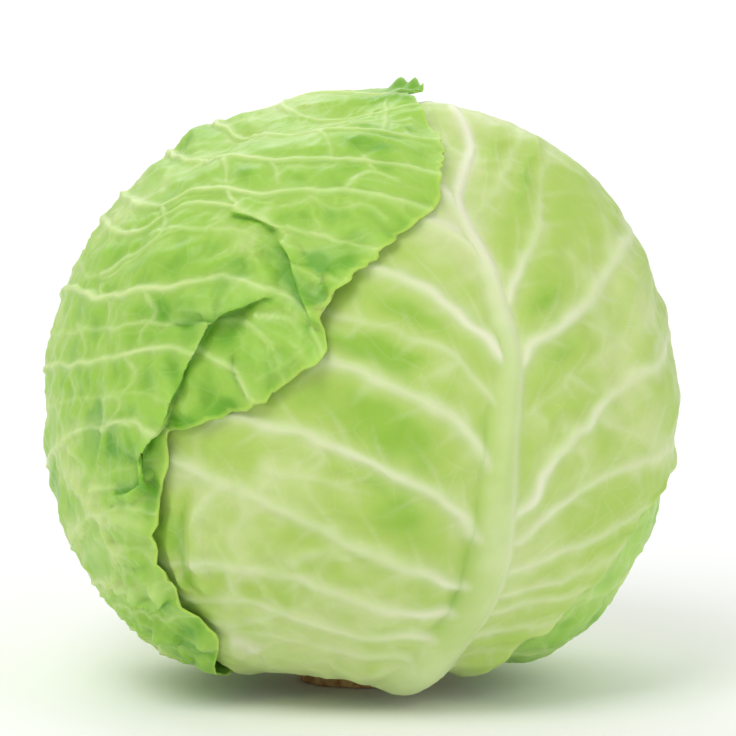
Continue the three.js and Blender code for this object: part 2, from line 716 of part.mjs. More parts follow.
// The stump: the stem cut off square, which the leaf bases clasp.
const STUMP_TOP = CENTRE_HEIGHT - HEART_BOTTOM_DEPTH - 0.4;

function stump() {
  const profile = [
    [0, 0],
    [STUMP_RADIUS, 0],
    [STUMP_RADIUS + 0.5, 0.9],
    [STUMP_RADIUS - 0.4, 2.8],
    [STUMP_RADIUS - 1.5, STUMP_TOP - 1],
    [STUMP_RADIUS - 3, STUMP_TOP],
    [0, STUMP_TOP],
  ];
  const stem = new THREE.LatheGeometry(profile.map((point) => new THREE.Vector2(...point)), 32);
  stem.rotateX(Math.PI / 2);
  return stem;
}

// The whole head, from the inside out.
const head = new THREE.Group();

function addPiece(name, colour, roughness, geometry) {
  const material = new THREE.MeshStandardMaterial({ color: colour, roughness, metalness: 0 });
  const mesh = new THREE.Mesh(geometry, material);
  mesh.name = name;
  head.add(mesh);
}

addPiece("stump", "#c9b47a", 0.8, stump());

// The heart's own leaves stand out of its core by their thickness.
const laid = [];
let heart = solidOf(core());
for (const leaf of [heartLeftLeaf, heartRightLeaf]) {
  const made = leafSolid(leaf, groundUnder(leaf.map, laid));
  heart = heart.add(solidOf(made.geometry));
  laid.push(made);
}
addPiece("heart", "#dbe7b8", 0.5, geometryOf(heart));

for (const leaf of [rearLeaf, frontLeaf, leftLeaf]) {
  const made = leafSolid(leaf, groundUnder(leaf.map, laid));
  addPiece(leaf.name, leaf.colour, 0.45, made.geometry);
  laid.push(made);
}

export default head;
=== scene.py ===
"""A head of white cabbage on a plain pale floor, made from the inside out."""

import math

import bpy
import numpy as np
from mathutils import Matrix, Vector


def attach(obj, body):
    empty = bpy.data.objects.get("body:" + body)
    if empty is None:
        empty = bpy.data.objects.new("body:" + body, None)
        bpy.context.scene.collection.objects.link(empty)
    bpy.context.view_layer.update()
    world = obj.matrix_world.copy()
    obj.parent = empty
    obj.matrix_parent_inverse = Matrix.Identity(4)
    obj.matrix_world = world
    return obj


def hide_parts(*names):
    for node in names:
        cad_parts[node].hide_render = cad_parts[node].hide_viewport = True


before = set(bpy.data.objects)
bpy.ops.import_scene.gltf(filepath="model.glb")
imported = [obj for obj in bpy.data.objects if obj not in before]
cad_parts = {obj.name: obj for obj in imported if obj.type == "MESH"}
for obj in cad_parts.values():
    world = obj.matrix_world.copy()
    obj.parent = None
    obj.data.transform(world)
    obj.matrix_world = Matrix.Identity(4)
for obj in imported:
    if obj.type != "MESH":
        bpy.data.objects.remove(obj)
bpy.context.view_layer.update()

# The heart of the head: tightly folded young leaves, pale and firm, grown into one mass.
# Its two outermost leaves show in the gaps between the wrapper leaves low down on either side.
# Everything on the head is placed by its direction from the head's centre, in mm from that centre.
HEAD_RADIUS = 90.0
CENTRE_HEIGHT = 80.5
BOTTOM_DEPTH = 73.0
HEART_BOTTOM_DEPTH = 63.0
WRAPPER_DEPTH = 5.6
FOOT = -73.5
MM_PER_DEGREE = HEAD_RADIUS * math.pi / 180


def unit(vectors):
    return vectors / np.linalg.norm(vectors, axis=-1, keepdims=True)


def at(azimuth, latitude):
    """The direction at an azimuth from the front, positive towards +X, and a latitude, in degrees."""
    turn, rise = math.radians(azimuth), math.radians(latitude)
    return np.array([math.cos(rise) * math.sin(turn), -math.cos(rise) * math.cos(turn), math.sin(rise)])


ACROSS = np.array([1.0, 0.0, 0.0])
TOWARDS = at(0, 10)
UP = np.cross(TOWARDS, ACROSS)


def swelling(directions, middle, width):
    angle = np.degrees(np.arccos(np.clip(directions @ middle, -1, 1)))
    return np.exp(-((angle / width) ** 2))


def flattened(radius, depth, directions):
    """A radius cut short, softly, by a level underside at a depth below the centre."""
    flat = depth / np.maximum(-directions[..., 2], 0.05)
    return np.where(directions[..., 2] >= 0, radius, (radius**-20.0 + flat**-20.0) ** (-1 / 20))


def head_radius(directions):
    """From the centre to the outside of the head: round, with a flattened underside and slow lobes."""
    lobes = [
        (3.6, -84, -44, 30),
        (2.6, 86, -40, 26),
        (3.0, 78, 55, 20),
        (-3.0, 96, 8, 25),
        (-10.8, -20, 90, 38),
        (-2.0, -85, 60, 24),
        (6.2, -150, 79, 15),
        (2.2, 96, 28, 12),
        (-1.5, 88, -10, 10),
        (1.5, 111, 64, 12),
        (1.5, -97, 36, 22),
    ]
    radius = HEAD_RADIUS - 0.8
    for height, azimuth, latitude, width in lobes:
        radius = radius + height * swelling(directions, at(azimuth, latitude), width)
    return flattened(radius, BOTTOM_DEPTH, directions)


def core_radius(directions):
    return flattened(head_radius(directions) - WRAPPER_DEPTH, HEART_BOTTOM_DEPTH, directions)


def leaf_rise(direction):
    """How far the leaves stand above the round of the head, which is most on the crown, where they meet."""
    return 2 + 6 * swelling(direction, at(0, 90), 45)


def seen(across, up):
    """The direction of a place in the front view, from its mm across and up from the head's centre."""
    depth = 0.0
    for _ in range(8):
        direction = unit(across * ACROSS + up * UP + depth * TOWARDS)
        surface = float(head_radius(direction) + leaf_rise(direction))
        depth = math.sqrt(max(0.0, surface**2 - across**2 - up**2))
    return direction


class LeafMap:
    """A flat map of the head round one direction, in degrees of arc, on which a leaf is laid out."""

    def __init__(self, azimuth, latitude):
        self.middle = at(azimuth, latitude)
        self.right = at(azimuth + 90, 0)
        self.up = np.cross(self.right, self.middle)
        if self.up[2] < 0:
            self.up = -self.up

    def place(self, directions):
        angle = np.degrees(np.arccos(np.clip(directions @ self.middle, -1, 1)))
        side, rise = directions @ self.right, directions @ self.up
        length = np.maximum(np.hypot(side, rise), 1e-9)
        return np.stack([angle * side / length, angle * rise / length], axis=-1)

    def direction(self, places):
        angle = np.hypot(places[..., 0], places[..., 1])
        share = np.sin(np.radians(angle)) / np.maximum(angle, 1e-9)
        return (
            np.cos(np.radians(angle))[..., None] * self.middle
            + (places[..., 0] * share)[..., None] * self.right
            + (places[..., 1] * share)[..., None] * self.up
        )


MAP_REACH = 144.0
MAP_CELL = 1.5
DRAPE = 3


def ground_under(leaf_map, leaves_below):
    """What a leaf lies on: the core and the leaves below, smoothed so that the leaf is draped over them."""
    side = np.arange(-MAP_REACH, MAP_REACH + MAP_CELL / 2, MAP_CELL)
    grid = core_radius(leaf_map.direction(np.stack(np.meshgrid(side, side), axis=-1)))
    last = len(side) - 1
    for directions, radii in leaves_below:
        cells = np.clip(np.rint((leaf_map.place(directions) + MAP_REACH) / MAP_CELL), 0, last).astype(int)
        np.maximum.at(grid, (cells[:, 1], cells[:, 0]), radii)

    def spread(reach, combine):
        nonlocal grid
        for axis in (0, 1):
            padded = np.pad(grid, [(reach, reach) if k == axis else (0, 0) for k in (0, 1)], mode="edge")
            shifts = [np.take(padded, np.arange(last + 1) + step, axis=axis) for step in range(2 * reach + 1)]
            grid = combine(shifts, axis=0)

    spread(DRAPE, np.max)
    spread(DRAPE - 1, np.mean)
    spread(1, np.mean)

    def ground(places):
        x, y = np.clip((np.moveaxis(places, -1, 0) + MAP_REACH) / MAP_CELL, 0, last - 0.001)
        column, row = x.astype(int), y.astype(int)
        x, y = x - column, y - row
        low = grid[row, column] * (1 - x) + grid[row, column + 1] * x
        high = grid[row + 1, column] * (1 - x) + grid[row + 1, column + 1] * x
        return low * (1 - y) + high * y

    return ground


def smooth(low, high, value):
    t = np.clip((value - low) / (high - low), 0, 1)
    return t * t * (3 - 2 * t)


# The steps between two stations of a midrib.
STEPS = 40


def curve_through(places, steps=STEPS):
    """A smooth curve through places, in so many steps between each two of them."""
    places = np.asarray(places, dtype=float)
    ends = np.vstack([2 * places[0] - places[1], places, 2 * places[-1] - places[-2]])
    gaps = np.sqrt(np.maximum(np.linalg.norm(np.diff(ends, axis=0), axis=1), 1e-6))
    t = np.linspace(0, 1, steps, endpoint=False)[:, None]
    spans = []
    for i in range(len(places) - 1):
        x0, x1, x2, x3 = ends[i : i + 4]
        d0, d1, d2 = gaps[i : i + 3]
        out = ((x1 - x0) / d0 - (x2 - x0) / (d0 + d1) + (x2 - x1) / d1) * d1
        into = ((x2 - x1) / d1 - (x3 - x1) / (d1 + d2) + (x3 - x2) / d2) * d1
        bend, twist = 3 * (x2 - x1) - 2 * out - into, 2 * (x1 - x2) + out + into
        spans.append(x1 + out * t + bend * t**2 + twist * t**3)
    return np.vstack([*spans, places[-1:]])


def evenly(line, shares):
    """The places at shares of a line's length."""
    length = np.concatenate([[0], np.cumsum(np.linalg.norm(np.diff(line, axis=0), axis=1))])
    wanted = np.asarray(shares) * length[-1]
    return np.stack([np.interp(wanted, length, line[:, k]) for k in range(line.shape[1])], -1)


def row(start, vein, *through):
    """A row of the blade: its station on the midrib, its vein's strength and its way out to the margin."""
    return start, vein, [np.asarray(p) if len(p) == 3 else seen(*p) for p in through]


class Side:
    """One side of a leaf, from the midrib at share 0 to the margin at share 1."""

    def __init__(self, rows, midrib, leaf_map):
        self.rows = sorted(rows, key=lambda given: given[0])
        self.stations = np.array([given[0] for given in self.rows], dtype=float)
        self.shares = np.linspace(0, 1, 61)
        self.midrib = midrib
        self.lines = np.array(
            [
                evenly(curve_through([midrib(start), *leaf_map.place(np.array(through))]), self.shares)
                for start, _, through in self.rows
            ]
        )

    def place(self, stations, shares):
        def at_shares_of(line):
            return np.stack([np.interp(shares, self.shares, line[:, k]) for k in (0, 1)], -1)

        at_shares = np.array([at_shares_of(line) for line in self.lines])
        before = np.maximum(np.arange(len(self.rows)) - 1, 0)
        after = np.minimum(np.arange(len(self.rows)) + 1, len(self.rows) - 1)
        apart = (self.stations[after] - self.stations[before])[:, None, None]
        k = np.clip(np.searchsorted(self.stations, stations, side="left") - 1, 0, len(self.rows) - 2)
        gap = (self.stations[k + 1] - self.stations[k])[:, None, None]
        t = (stations - self.stations[k])[:, None, None] / gap

        def between(values):
            slopes = (values[after] - values[before]) / apart
            return (
                values[k] * (2 * t**3 - 3 * t**2 + 1)
                + values[k + 1] * (3 * t**2 - 2 * t**3)
                + slopes[k] * gap * (t**3 - 2 * t**2 + t)
                + slopes[k + 1] * gap * (t**3 - t**2)
            )

        start = between(self.lines[:, :1])
        near_rib = (1 - np.asarray(shares))[None, :, None] ** 4
        return between(at_shares) + (self.midrib(stations)[:, None] - start) * near_rib


def near(points, line):
    """How far points are from a line, in mm, + on its left hand, and how far along it they are, 0 to 1."""
    distance, along = np.full(len(points), 1e3), np.zeros(len(points))
    middle = unit(line.mean(axis=0))
    close = np.flatnonzero(points @ middle > (line @ middle).min() - 0.25)
    here = points[close]
    best, side, share = np.full(len(here), 1e3), np.ones(len(here)), np.zeros(len(here))
    steps = np.diff(line, axis=0)
    for i, (start, step) in enumerate(zip(line, steps)):
        offset = here - start
        t = np.clip(offset @ step / (step @ step), 0, 1)
        away = np.linalg.norm(offset - t[:, None] * step, axis=1)
        nearer = away < best
        best[nearer] = away[nearer]
        share[nearer] = (i + t[nearer]) / len(steps)
        side[nearer] = np.sign(offset[nearer] @ np.cross(start, step) + 1e-12)
    distance[close], along[close] = best * side * HEAD_RADIUS, share
    return distance, along


def bell(distance, width):
    """1 at a line, and less away from it."""
    return np.exp(-((distance / width) ** 2))


def wander(points, length, seed):
    """Slow unevenness over the head, about -1 to 1, that swings over a length in mm."""
    draw = np.random.default_rng(seed)
    total = np.zeros(points.shape[:-1])
    for _ in range(12):
        wave = unit(draw.normal(size=3)) * draw.uniform(0.6, 1.4) * math.tau * HEAD_RADIUS / length
        total += np.sin(points @ wave + draw.uniform(0, math.tau))
    return total / 3.6


def crumple(points, length, seed):
    """Unevenness with sharp crests, as of a sheet that was crushed and opened again, about -1 to 1."""
    first, second = wander(points, length, seed), wander(points, length * 0.6, seed + 100)
    return 0.7 - 1.3 * np.abs(first) - 0.5 * np.abs(second)


def drawn_line(places):
    """A line on the head, from places in the front view."""
    return np.array([seen(*p) for p in evenly(curve_through(places, 10), np.linspace(0, 1, 22))])


def taper(along, length):
    return smooth(0, length, along) * smooth(0, length, 1 - along)


# In mm: how thick a blade is, and at its thinnest, the gap below it, half the width of a fold's wall, and the
# lowest it hangs. Last, how many rows and columns of its outside make one of its inside.
BLADE = 0.9
THINNEST = 0.5
GAP = 0.65
WALL = 1.4
SINK = -0.2
COARSE = 3


def lay_leaf(leaf, below):
    """A whole leaf laid on what is below it: its corners and faces, what colours it, and its outside."""
    leaf_map = leaf["map"]
    ground = ground_under(leaf_map, below)
    rib = curve_through(leaf_map.place(np.array(leaf["midrib"])))
    last = len(leaf["midrib"]) - 1

    def midrib(stations):
        steps = np.asarray(stations) * STEPS
        return np.stack([np.interp(steps, np.arange(len(rib)), rib[:, k]) for k in (0, 1)], -1)

    sides = [Side(leaf[name], midrib, leaf_map) for name in ("right", "left")]

    # Rows stand where they are evenly apart out on the blade, and both sides share the midrib's corners.
    many = np.linspace(0, last, 1600)
    apart = sum(
        np.linalg.norm(np.diff(side.place(many, np.array([share])), axis=0), axis=-1)[:, 0] ** 2 * weight
        for side, weight in zip(sides, leaf.get("weights", (1, 1)))
        for share in (0.5, 0.95)
    )
    steps = np.concatenate([[0], np.cumsum(np.sqrt(apart) + 2e-3)])
    stations = np.interp(np.linspace(0, steps[-1], leaf["rows"] + 1), steps, many)
    count = len(stations)

    places, share, station, index = [], [], [], []
    corners_so_far = count
    for side, columns in zip(sides, leaf["columns"]):
        shares = np.arange(columns + 1) / columns
        laid = side.place(stations, shares)
        if side is sides[0]:
            places.append(midrib(stations))
            share.append(np.zeros(count))
            station.append(stations)
        places.append(laid[:, 1:].reshape(-1, 2))
        share.append(np.tile(shares[1:], count))
        station.append(np.repeat(stations, columns))
        grid = corners_so_far + np.arange(count * columns).reshape(count, columns)
        index.append(np.hstack([np.arange(count)[:, None], grid]))
        corners_so_far += count * columns
    places, share, station = np.concatenate(places), np.concatenate(share), np.concatenate(station)
    on_side = [np.unique(grid) for grid in index]

    # The margin waves, and is toothed and torn a little.
    for side, grid, seed in zip(sides, index, (0, 7)):
        draw = np.random.default_rng(leaf["seed"] + seed)
        edge = places[grid[:, -1]]
        gaps = np.linalg.norm(np.diff(edge, axis=0), axis=1)
        length = np.concatenate([[0], np.cumsum(gaps)]) * MM_PER_DEGREE
        length += 2.2 * np.sin(length / 6.3 + draw.uniform(0, 6)) + 1.1 * np.sin(length / 2.9)
        strength = 0.55 + 0.45 * np.sin(length / 13 + draw.uniform(0, 6))
        teeth = strength * (1.6 * np.abs(np.sin(length / 3.1)) - 1.1)
        teeth += 0.3 * np.sin(length / 9.7) * np.sin(length / 19)
        fray = 0.6 * strength * (np.abs(np.sin(length / 1.05)) - 0.6)
        inward = places[grid[:, -4]]
        outwards = unit(edge - inward)
        torn = leaf["nibble"]
        for amount, middle, width in leaf.get("torn", []):
            torn = torn + amount * swelling(leaf_map.direction(edge), middle, width)
        reach = (torn * (0.6 * teeth + 0.5 * fray))[:, None] * smooth(0.9, 1, share[grid])
        reach[:, 0] = 0
        places[grid] += outwards[:, None] * reach[..., None] / MM_PER_DEGREE

    ways = leaf_map.direction(places)
    slow, quick = wander(ways, 34, leaf["seed"] + 2), wander(ways, 9, leaf["seed"] + 3)
    uneven = wander(ways, 12, leaf["seed"] + 1)
    inside = smooth(0, 0.06, share) * smooth(1.0, 0.93, share)

    # The midrib, with a painted highlight down its right flank.
    distance, along = near(ways, leaf_map.direction(evenly(rib, np.linspace(0, 1, 70))))
    width = np.interp(along, *leaf["rib_width"])
    height = np.interp(along, *leaf["rib_height"])
    lean = leaf.get("lean", 0)
    offset = distance + lean * width
    across = offset / (width * np.where(offset > 0, 1.2 + lean, 1.2 - lean))
    relief = height * np.clip(1 - across**2, 0, 1) ** 1.4
    paleness_and_highlight = np.interp(along, *leaf["rib_pale"]) * np.exp(-(np.abs(across) ** 2.2))
    # Painted highlight: on a leaning midrib, a pale streak down its right flank that fades towards the tip.
    paleness_and_highlight += 0.5 * (lean > 0) * bell(distance + 0.8 * width, 1.6) * (1 - along)
    off_rib = smooth(0.25, 0.95, np.abs(across))
    nearest = np.maximum(np.abs(distance) - width * 0.7, 0)

    # The side veins, which stand in soft ridges and grow thinner towards the margin, and their branches.
    veins = []
    for side, here in zip(sides, on_side):
        for k, (start, strength, _) in enumerate(side.rows):
            if strength:
                line = leaf_map.direction(evenly(side.lines[k], np.linspace(0, 1, 26)))
                veins.append((strength, here, line))
    for strength, *line in leaf.get("branches", []):
        veins.append((strength, np.arange(len(ways)), drawn_line(line)))
    tall, broad, pale = leaf["vein"]
    for strength, here, line in veins:
        distance, along = near(ways[here], line)
        distance = np.abs(distance + 0.5 * uneven[here])
        thin = 1 - leaf.get("fading", 0.75) * along
        narrow = broad * (0.4 + 0.6 * thin) * (0.6 + 0.4 * strength)
        ridge = tall * strength * thin * bell(distance, narrow)
        relief[here] = np.maximum(relief[here], ridge * (0.2 + 0.8 * off_rib[here]))
        glow = pale * min(1, strength) * (0.15 + 0.85 * thin) * (1 + 0.25 * slow[here]) * off_rib[here]
        halo = 0.7 * bell(distance, 0.75 * narrow) + 0.3 * bell(distance, 1.9 * narrow)
        paleness_and_highlight[here] = np.maximum(paleness_and_highlight[here], glow * halo)
        nearest[here] = np.minimum(nearest[here], distance)

    # Small veins leave each side vein at a slant, and run on into the blade between it and the next.
    small = np.zeros(len(ways))
    for side, grid in zip(sides, index):
        here = np.unique(grid[:, 1:])
        at_station, at_share = station[here], share[here] + 0.014 * wander(ways[here], 20, leaf["seed"] + 5)
        k = np.clip(np.searchsorted(side.stations, at_station, side="left") - 1, 0, len(side.rows) - 2)
        t = (at_station - side.stations[k]) / (side.stations[k + 1] - side.stations[k])
        lengths = [np.linalg.norm(np.diff(line, axis=0), axis=1).sum() for line in side.lines]
        run = np.array(lengths)[k] * MM_PER_DEGREE
        wide = np.linalg.norm(side.lines[1:] - side.lines[:-1], axis=-1)[:, 30][k] * MM_PER_DEGREE
        wide = np.maximum(wide, 4)
        for up in (1, -1):
            tt = t if up > 0 else 1 - t
            slope = np.minimum(0.9 * wide / run, 0.5)
            spacing = np.clip(15.0 / run, 0.06, 0.5)
            phase = (at_share - slope * tt) / spacing + (0 if up > 0 else 0.5) + 0.35 * np.sin(k * 2.1 + 1)
            off = np.abs(phase - np.rint(phase)) * spacing * run / np.hypot(1, slope * run / wide)
            off = off * (1 + 0.35 * uneven[here])
            fade = smooth(0.6, 0.2, tt) * smooth(0.03, 0.1, at_share) * smooth(1.0, 0.9, at_share)
            small[here] = np.maximum(small[here], fade * bell(off, 0.8))
    small *= 1 - np.clip(paleness_and_highlight, 0, 1)
    relief += leaf["small_veins"] * small

    # The blade swells between its veins, and was crushed a little. Painted shade darkens the valleys of the
    # crush and the sunken creases.
    quilt = 1 - bell(nearest, 5.5)
    lift = leaf["pucker"] * quilt * (1 + 0.7 * slow) * inside + 0.25 * leaf["pucker"] * quick * quilt * inside
    crushed = leaf["crumple"](ways) if callable(leaf["crumple"]) else leaf["crumple"]
    crumpled = crumple(ways, 17, leaf["seed"] + 8)
    flat_margin = smooth(0, 0.08, share) * (1 - 0.5 * smooth(0.85, 1, share))
    lift += crushed * (crumpled + 0.35 * crumple(ways, 7, leaf["seed"] + 9)) * flat_margin
    lift += leaf["ruffle"] * np.clip(0.5 + 0.7 * uneven, 0, 1.5) * smooth(0.88, 1, share) ** 1.5
    for height, middle, width in leaf.get("swells", []):
        lift += height * swelling(ways, middle, width / MM_PER_DEGREE)
    for height, middle, width in leaf.get("curls", []):
        lift += height * swelling(ways, middle, width) * smooth(0.8, 1, share)
    # Painted shade: the valleys of the crush are coloured deeper green and less pale.
    painted_shade = 0.45 * np.clip(-crumpled, 0, 1) * np.clip(crushed, 0, 1.2)
    # Creases lift ridges or sink grooves. Along a sunken crease the blade is darkened with painted shade.
    # Along a raised crease its pale share is a painted highlight on the crest. Along a flat crease the pale
    # share only whitens the blade.
    for height, width, pale, line in leaf.get("creases", []):
        distance, along = near(ways, drawn_line(line))
        across = taper(along, 0.2) * np.exp(-np.abs(distance) / width)
        lift += height * across
        paleness_and_highlight = np.maximum(paleness_and_highlight, pale * across)
        painted_shade += 0.4 * across * min(2.2, max(0.0, -height))

    # Where it is folded over itself, the blade turns back under a lip, and painted shade darkens the lower
    # sheet next to the lip.
    inner_lift = np.maximum(lift, SINK)
    moved = np.zeros((len(ways), 3))
    for height, over, reach, line in leaf.get("folds", []):
        line = drawn_line(line)
        distance, along = near(ways, line)
        ends = taper(along, 0.16) * (np.abs(distance) < 60)
        band = np.clip(distance / WALL, -1, 1)
        lift += height * ends * smooth(-reach, -WALL, distance) * (0.5 - 0.5 * np.sin(band * math.pi / 2))
        beyond = np.maximum(np.abs(distance) - WALL, 0)
        slide = np.where(band < 0, -band, -0.6 * band) * over * bell(beyond, 2.2 * over)
        steps = np.diff(line, axis=0)
        i = np.minimum((along * len(steps)).astype(int), len(steps) - 1)
        left_hand = unit(np.cross(line[i], steps[i]))
        moved += (slide * ends)[:, None] * left_hand / HEAD_RADIUS
        # Painted shade: the lower sheet just past the lip is coloured deeper green, as if the fold shadowed
        # it.
        painted_shade += 0.7 * ends * bell(distance - 1, 1.6) * (distance > 0)
        relief = relief * (1 - ends * bell(distance, 3))
    at_margin = smooth(0.9, 0.97, share)
    inner_lift += (np.maximum(lift, SINK) - inner_lift) * at_margin

    base = ground(places) + GAP
    inner = base + inner_lift
    thick = BLADE * (1 - 0.45 * smooth(0.9, 1, share))
    outer = np.maximum(base + np.maximum(lift, SINK) + thick + relief, inner + THINNEST)
    ways_outer = unit(ways + moved)
    ways_inner = unit(ways + moved * at_margin[:, None])

    corners = ways_outer * outer[:, None]
    under, faces = [], []
    kept = np.unique(np.concatenate([grid[::COARSE, ::COARSE].ravel() for grid in index]))
    under_of = np.full(len(corners), -1)
    under_of[kept] = len(corners) + np.arange(len(kept))
    corners = np.vstack([corners, ways_inner[kept] * inner[kept][:, None]])

    def tiles(grid, turned):
        a, b, c, d = grid[:-1, :-1], grid[:-1, 1:], grid[1:, 1:], grid[1:, :-1]
        one, other = (np.linalg.norm(corners[v] - corners[w], axis=-1) for v, w in ((a, c), (b, d)))
        straight = one <= other
        first = np.where(straight[..., None], np.stack([a, b, c], -1), np.stack([a, b, d], -1))
        second = np.where(straight[..., None], np.stack([a, c, d], -1), np.stack([b, c, d], -1))
        both = np.concatenate([first.reshape(-1, 3), second.reshape(-1, 3)])
        return both[:, ::-1] if turned else both

    rims = []
    for grid, turned in zip(index, (False, True)):
        faces.append(tiles(grid, turned))
        faces.append(tiles(under_of[grid[::COARSE, ::COARSE]], not turned))
        rims.append(np.concatenate([grid[0, :-1], grid[:-1, -1], grid[-1, ::-1]]))
    walls = []
    for rim, turned in zip(rims, (False, True)):
        for j in range(0, len(rim) - 1, COARSE):
            here, then = under_of[rim[j]], under_of[rim[j + COARSE]]
            fan = [(rim[j + q + 1], rim[j + q], here if q < 2 else then) for q in range(COARSE)]
            fan.append((rim[j + 2], here, then))
            walls.extend([face[::-1] for face in fan] if turned else fan)
    faces.append(np.array(walls))
    faces = np.concatenate(faces)

    green = leaf["green"](ways, share, quilt)
    # Painted shade deepens the green and dims the pale veins. The vein colour also carries the painted
    # highlights on the midrib's flank and on the crease crests.
    green = np.clip(green + 0.14 * slow + 0.05 * quick + 0.75 * painted_shade, 0, 1)
    colours = {
        "vein": np.clip(paleness_and_highlight, 0, 1) * (1 - 0.6 * np.clip(painted_shade, 0, 1)),
        "small_vein": small * leaf.get("small_pale", 1.0),
        "green": green,
        "edge": smooth(0.988, 1, share),
    }
    colours = {name: np.concatenate([values, values[kept]]) for name, values in colours.items()}
    spread = np.concatenate([places, places[kept]]) * MM_PER_DEGREE / 100
    return corners, faces, colours, spread, (ways, base + inner_lift + BLADE + relief)


def leaf_object(name, node, leaf, below, material):
    corners, faces, colours, spread, outside = lay_leaf(leaf, below)
    mesh = bpy.data.meshes.new(name)
    mesh.from_pydata(((corners + [0, 0, CENTRE_HEIGHT]) * 0.001).tolist(), [], faces.tolist())
    for attribute, values in colours.items():
        mesh.attributes.new(attribute, "FLOAT", "POINT").data.foreach_set("value", values.astype(np.float32))
    ends = np.empty(len(mesh.loops), dtype=np.int32)
    mesh.loops.foreach_get("vertex_index", ends)
    mesh.uv_layers.new(name="spread").data.foreach_set("uv", spread[ends].astype(np.float32).ravel())
    mesh.shade_smooth()
    piece = bpy.data.objects.new(name, mesh)
    bpy.context.collection.objects.link(piece)
    piece.data.materials.append(material)
    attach(piece, "root")
    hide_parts(node)
    return outside


def colour(red, green, blue):
    """A colour given as the eye reads it on a screen, 0 to 255, as the shader takes it."""
    values = [v / 255 for v in (red, green, blue)]
    return (*[v / 12.92 if v <= 0.04045 else ((v + 0.055) / 1.055) ** 2.4 for v in values], 1)


def leaf_skin(name, pale, green, deep, vein, edge, netting):
    """Waxy leaf skin: green that deepens between the pale veins, and a net of the finest veins."""
    material = bpy.data.materials.new(name)
    material.use_nodes = True
    nodes, links = material.node_tree.nodes, material.node_tree.links
    shader = nodes["Principled BSDF"]

    def add(kind, **settings):
        made = nodes.new(kind)
        for key, value in settings.items():
            setattr(made, key, value)
        return made

    def attribute(name):
        return add("ShaderNodeAttribute", attribute_name=name).outputs["Fac"]

    def mix(factor, first, second, blend="MIX"):
        made = add("ShaderNodeMix", data_type="RGBA", blend_type=blend)
        for socket, value in ((made.inputs[0], factor), (made.inputs[6], first), (made.inputs[7], second)):
            if isinstance(value, (int, float, tuple)):
                socket.default_value = value
            else:
                links.new(value, socket)
        return made.outputs[2]

    def reckon(operation, first, second=0.0, third=0.0):
        made = add("ShaderNodeMath", operation=operation)
        for socket, value in zip(made.inputs, (first, second, third)):
            if isinstance(value, (int, float)):
                socket.default_value = value
            else:
                links.new(value, socket)
        return made.outputs[0]

    def ranged(value, low, high, to_low, to_high):
        made = add("ShaderNodeMapRange", interpolation_type="SMOOTHSTEP")
        links.new(value, made.inputs["Value"])
        for key, number in zip(("From Min", "From Max", "To Min", "To Max"), (low, high, to_low, to_high)):
            made.inputs[key].default_value = number
        return made.outputs["Result"]

    place = add("ShaderNodeTexCoord").outputs["Object"]
    spread = add("ShaderNodeUVMap", uv_map="spread").outputs["UV"]

    def noise(scale, detail, where=place):
        made = add("ShaderNodeTexNoise")
        made.inputs["Scale"].default_value = scale
        made.inputs["Detail"].default_value = detail
        links.new(where, made.inputs["Vector"])
        return made.outputs["Fac"]

    def net(scale):
        """Veins between cells of the blade, 1 on the vein."""
        warp = add("ShaderNodeTexNoise", noise_dimensions="2D")
        warp.inputs["Scale"].default_value = scale * 0.7
        links.new(spread, warp.inputs["Vector"])
        moved = add("ShaderNodeVectorMath", operation="MULTIPLY_ADD")
        links.new(warp.outputs["Color"], moved.inputs[0])
        moved.inputs[1].default_value = (0.6 / scale, 0.6 / scale, 0)
        links.new(spread, moved.inputs[2])
        cells = add("ShaderNodeTexVoronoi", voronoi_dimensions="2D", feature="DISTANCE_TO_EDGE")
        cells.inputs["Scale"].default_value = scale
        links.new(moved.outputs[0], cells.inputs["Vector"])
        return cells.outputs["Distance"]

    blotch = noise(26, 3)
    mottle = noise(140, 4)
    grain = noise(900, 2)
    coarse_net = ranged(net(11), 0.0, 0.075, 1, 0)
    fine_net = ranged(net(34), 0.0, 0.09, 1, 0)
    netted = reckon("MAXIMUM", reckon("MULTIPLY", coarse_net, 0.9), reckon("MULTIPLY", fine_net, 0.22))
    netted = reckon("MULTIPLY", netted, ranged(noise(45, 2), 0.42, 0.6, 0.1, 1))

    # The green attribute is the leaf's own depth of green with painted shade added in hollows, creases and
    # under folds. The vein attribute is its pale veins together with painted highlights.
    depth = reckon("ADD", attribute("green"), reckon("MULTIPLY_ADD", blotch, 0.7, -0.35))
    depth = reckon("ADD", depth, reckon("MULTIPLY_ADD", mottle, 0.3, -0.15))
    skin = mix(ranged(depth, 0.0, 0.55, 0, 1), pale, green)
    skin = mix(ranged(depth, 0.5, 1.15, 0, 1), skin, deep)
    skin = mix(reckon("MULTIPLY", netted, netting), skin, vein)
    skin = mix(reckon("MULTIPLY", attribute("small_vein"), 2 * netting), skin, vein)
    skin = mix(attribute("vein"), skin, vein)
    skin = mix(reckon("MULTIPLY", attribute("edge"), 0.5), skin, edge)
    links.new(skin, shader.inputs["Base Color"])
    links.new(ranged(mottle, 0.3, 0.7, 0.36, 0.5), shader.inputs["Roughness"])
    shader.inputs["IOR"].default_value = 1.42
    shader.inputs["Specular IOR Level"].default_value = 0.42
    shader.inputs["Subsurface Weight"].default_value = 0.35
    shader.inputs["Subsurface Radius"].default_value = (0.55, 1.0, 0.25)
    shader.inputs["Subsurface Scale"].default_value = 0.003
    shader.inputs["Sheen Weight"].default_value = 0.06
    shader.inputs["Sheen Roughness"].default_value = 0.5

    raised = reckon("ADD", reckon("MULTIPLY", netted, 2 * netting), reckon("MULTIPLY", grain, 0.15))
    raised = reckon("ADD", raised, reckon("MULTIPLY", mottle, 0.6))
    bump = add("ShaderNodeBump")
    bump.inputs["Strength"].default_value = 0.35
    bump.inputs["Distance"].default_value = 0.0005
    links.new(raised, bump.inputs["Height"])
    links.new(bump.outputs["Normal"], shader.inputs["Normal"])
    return material


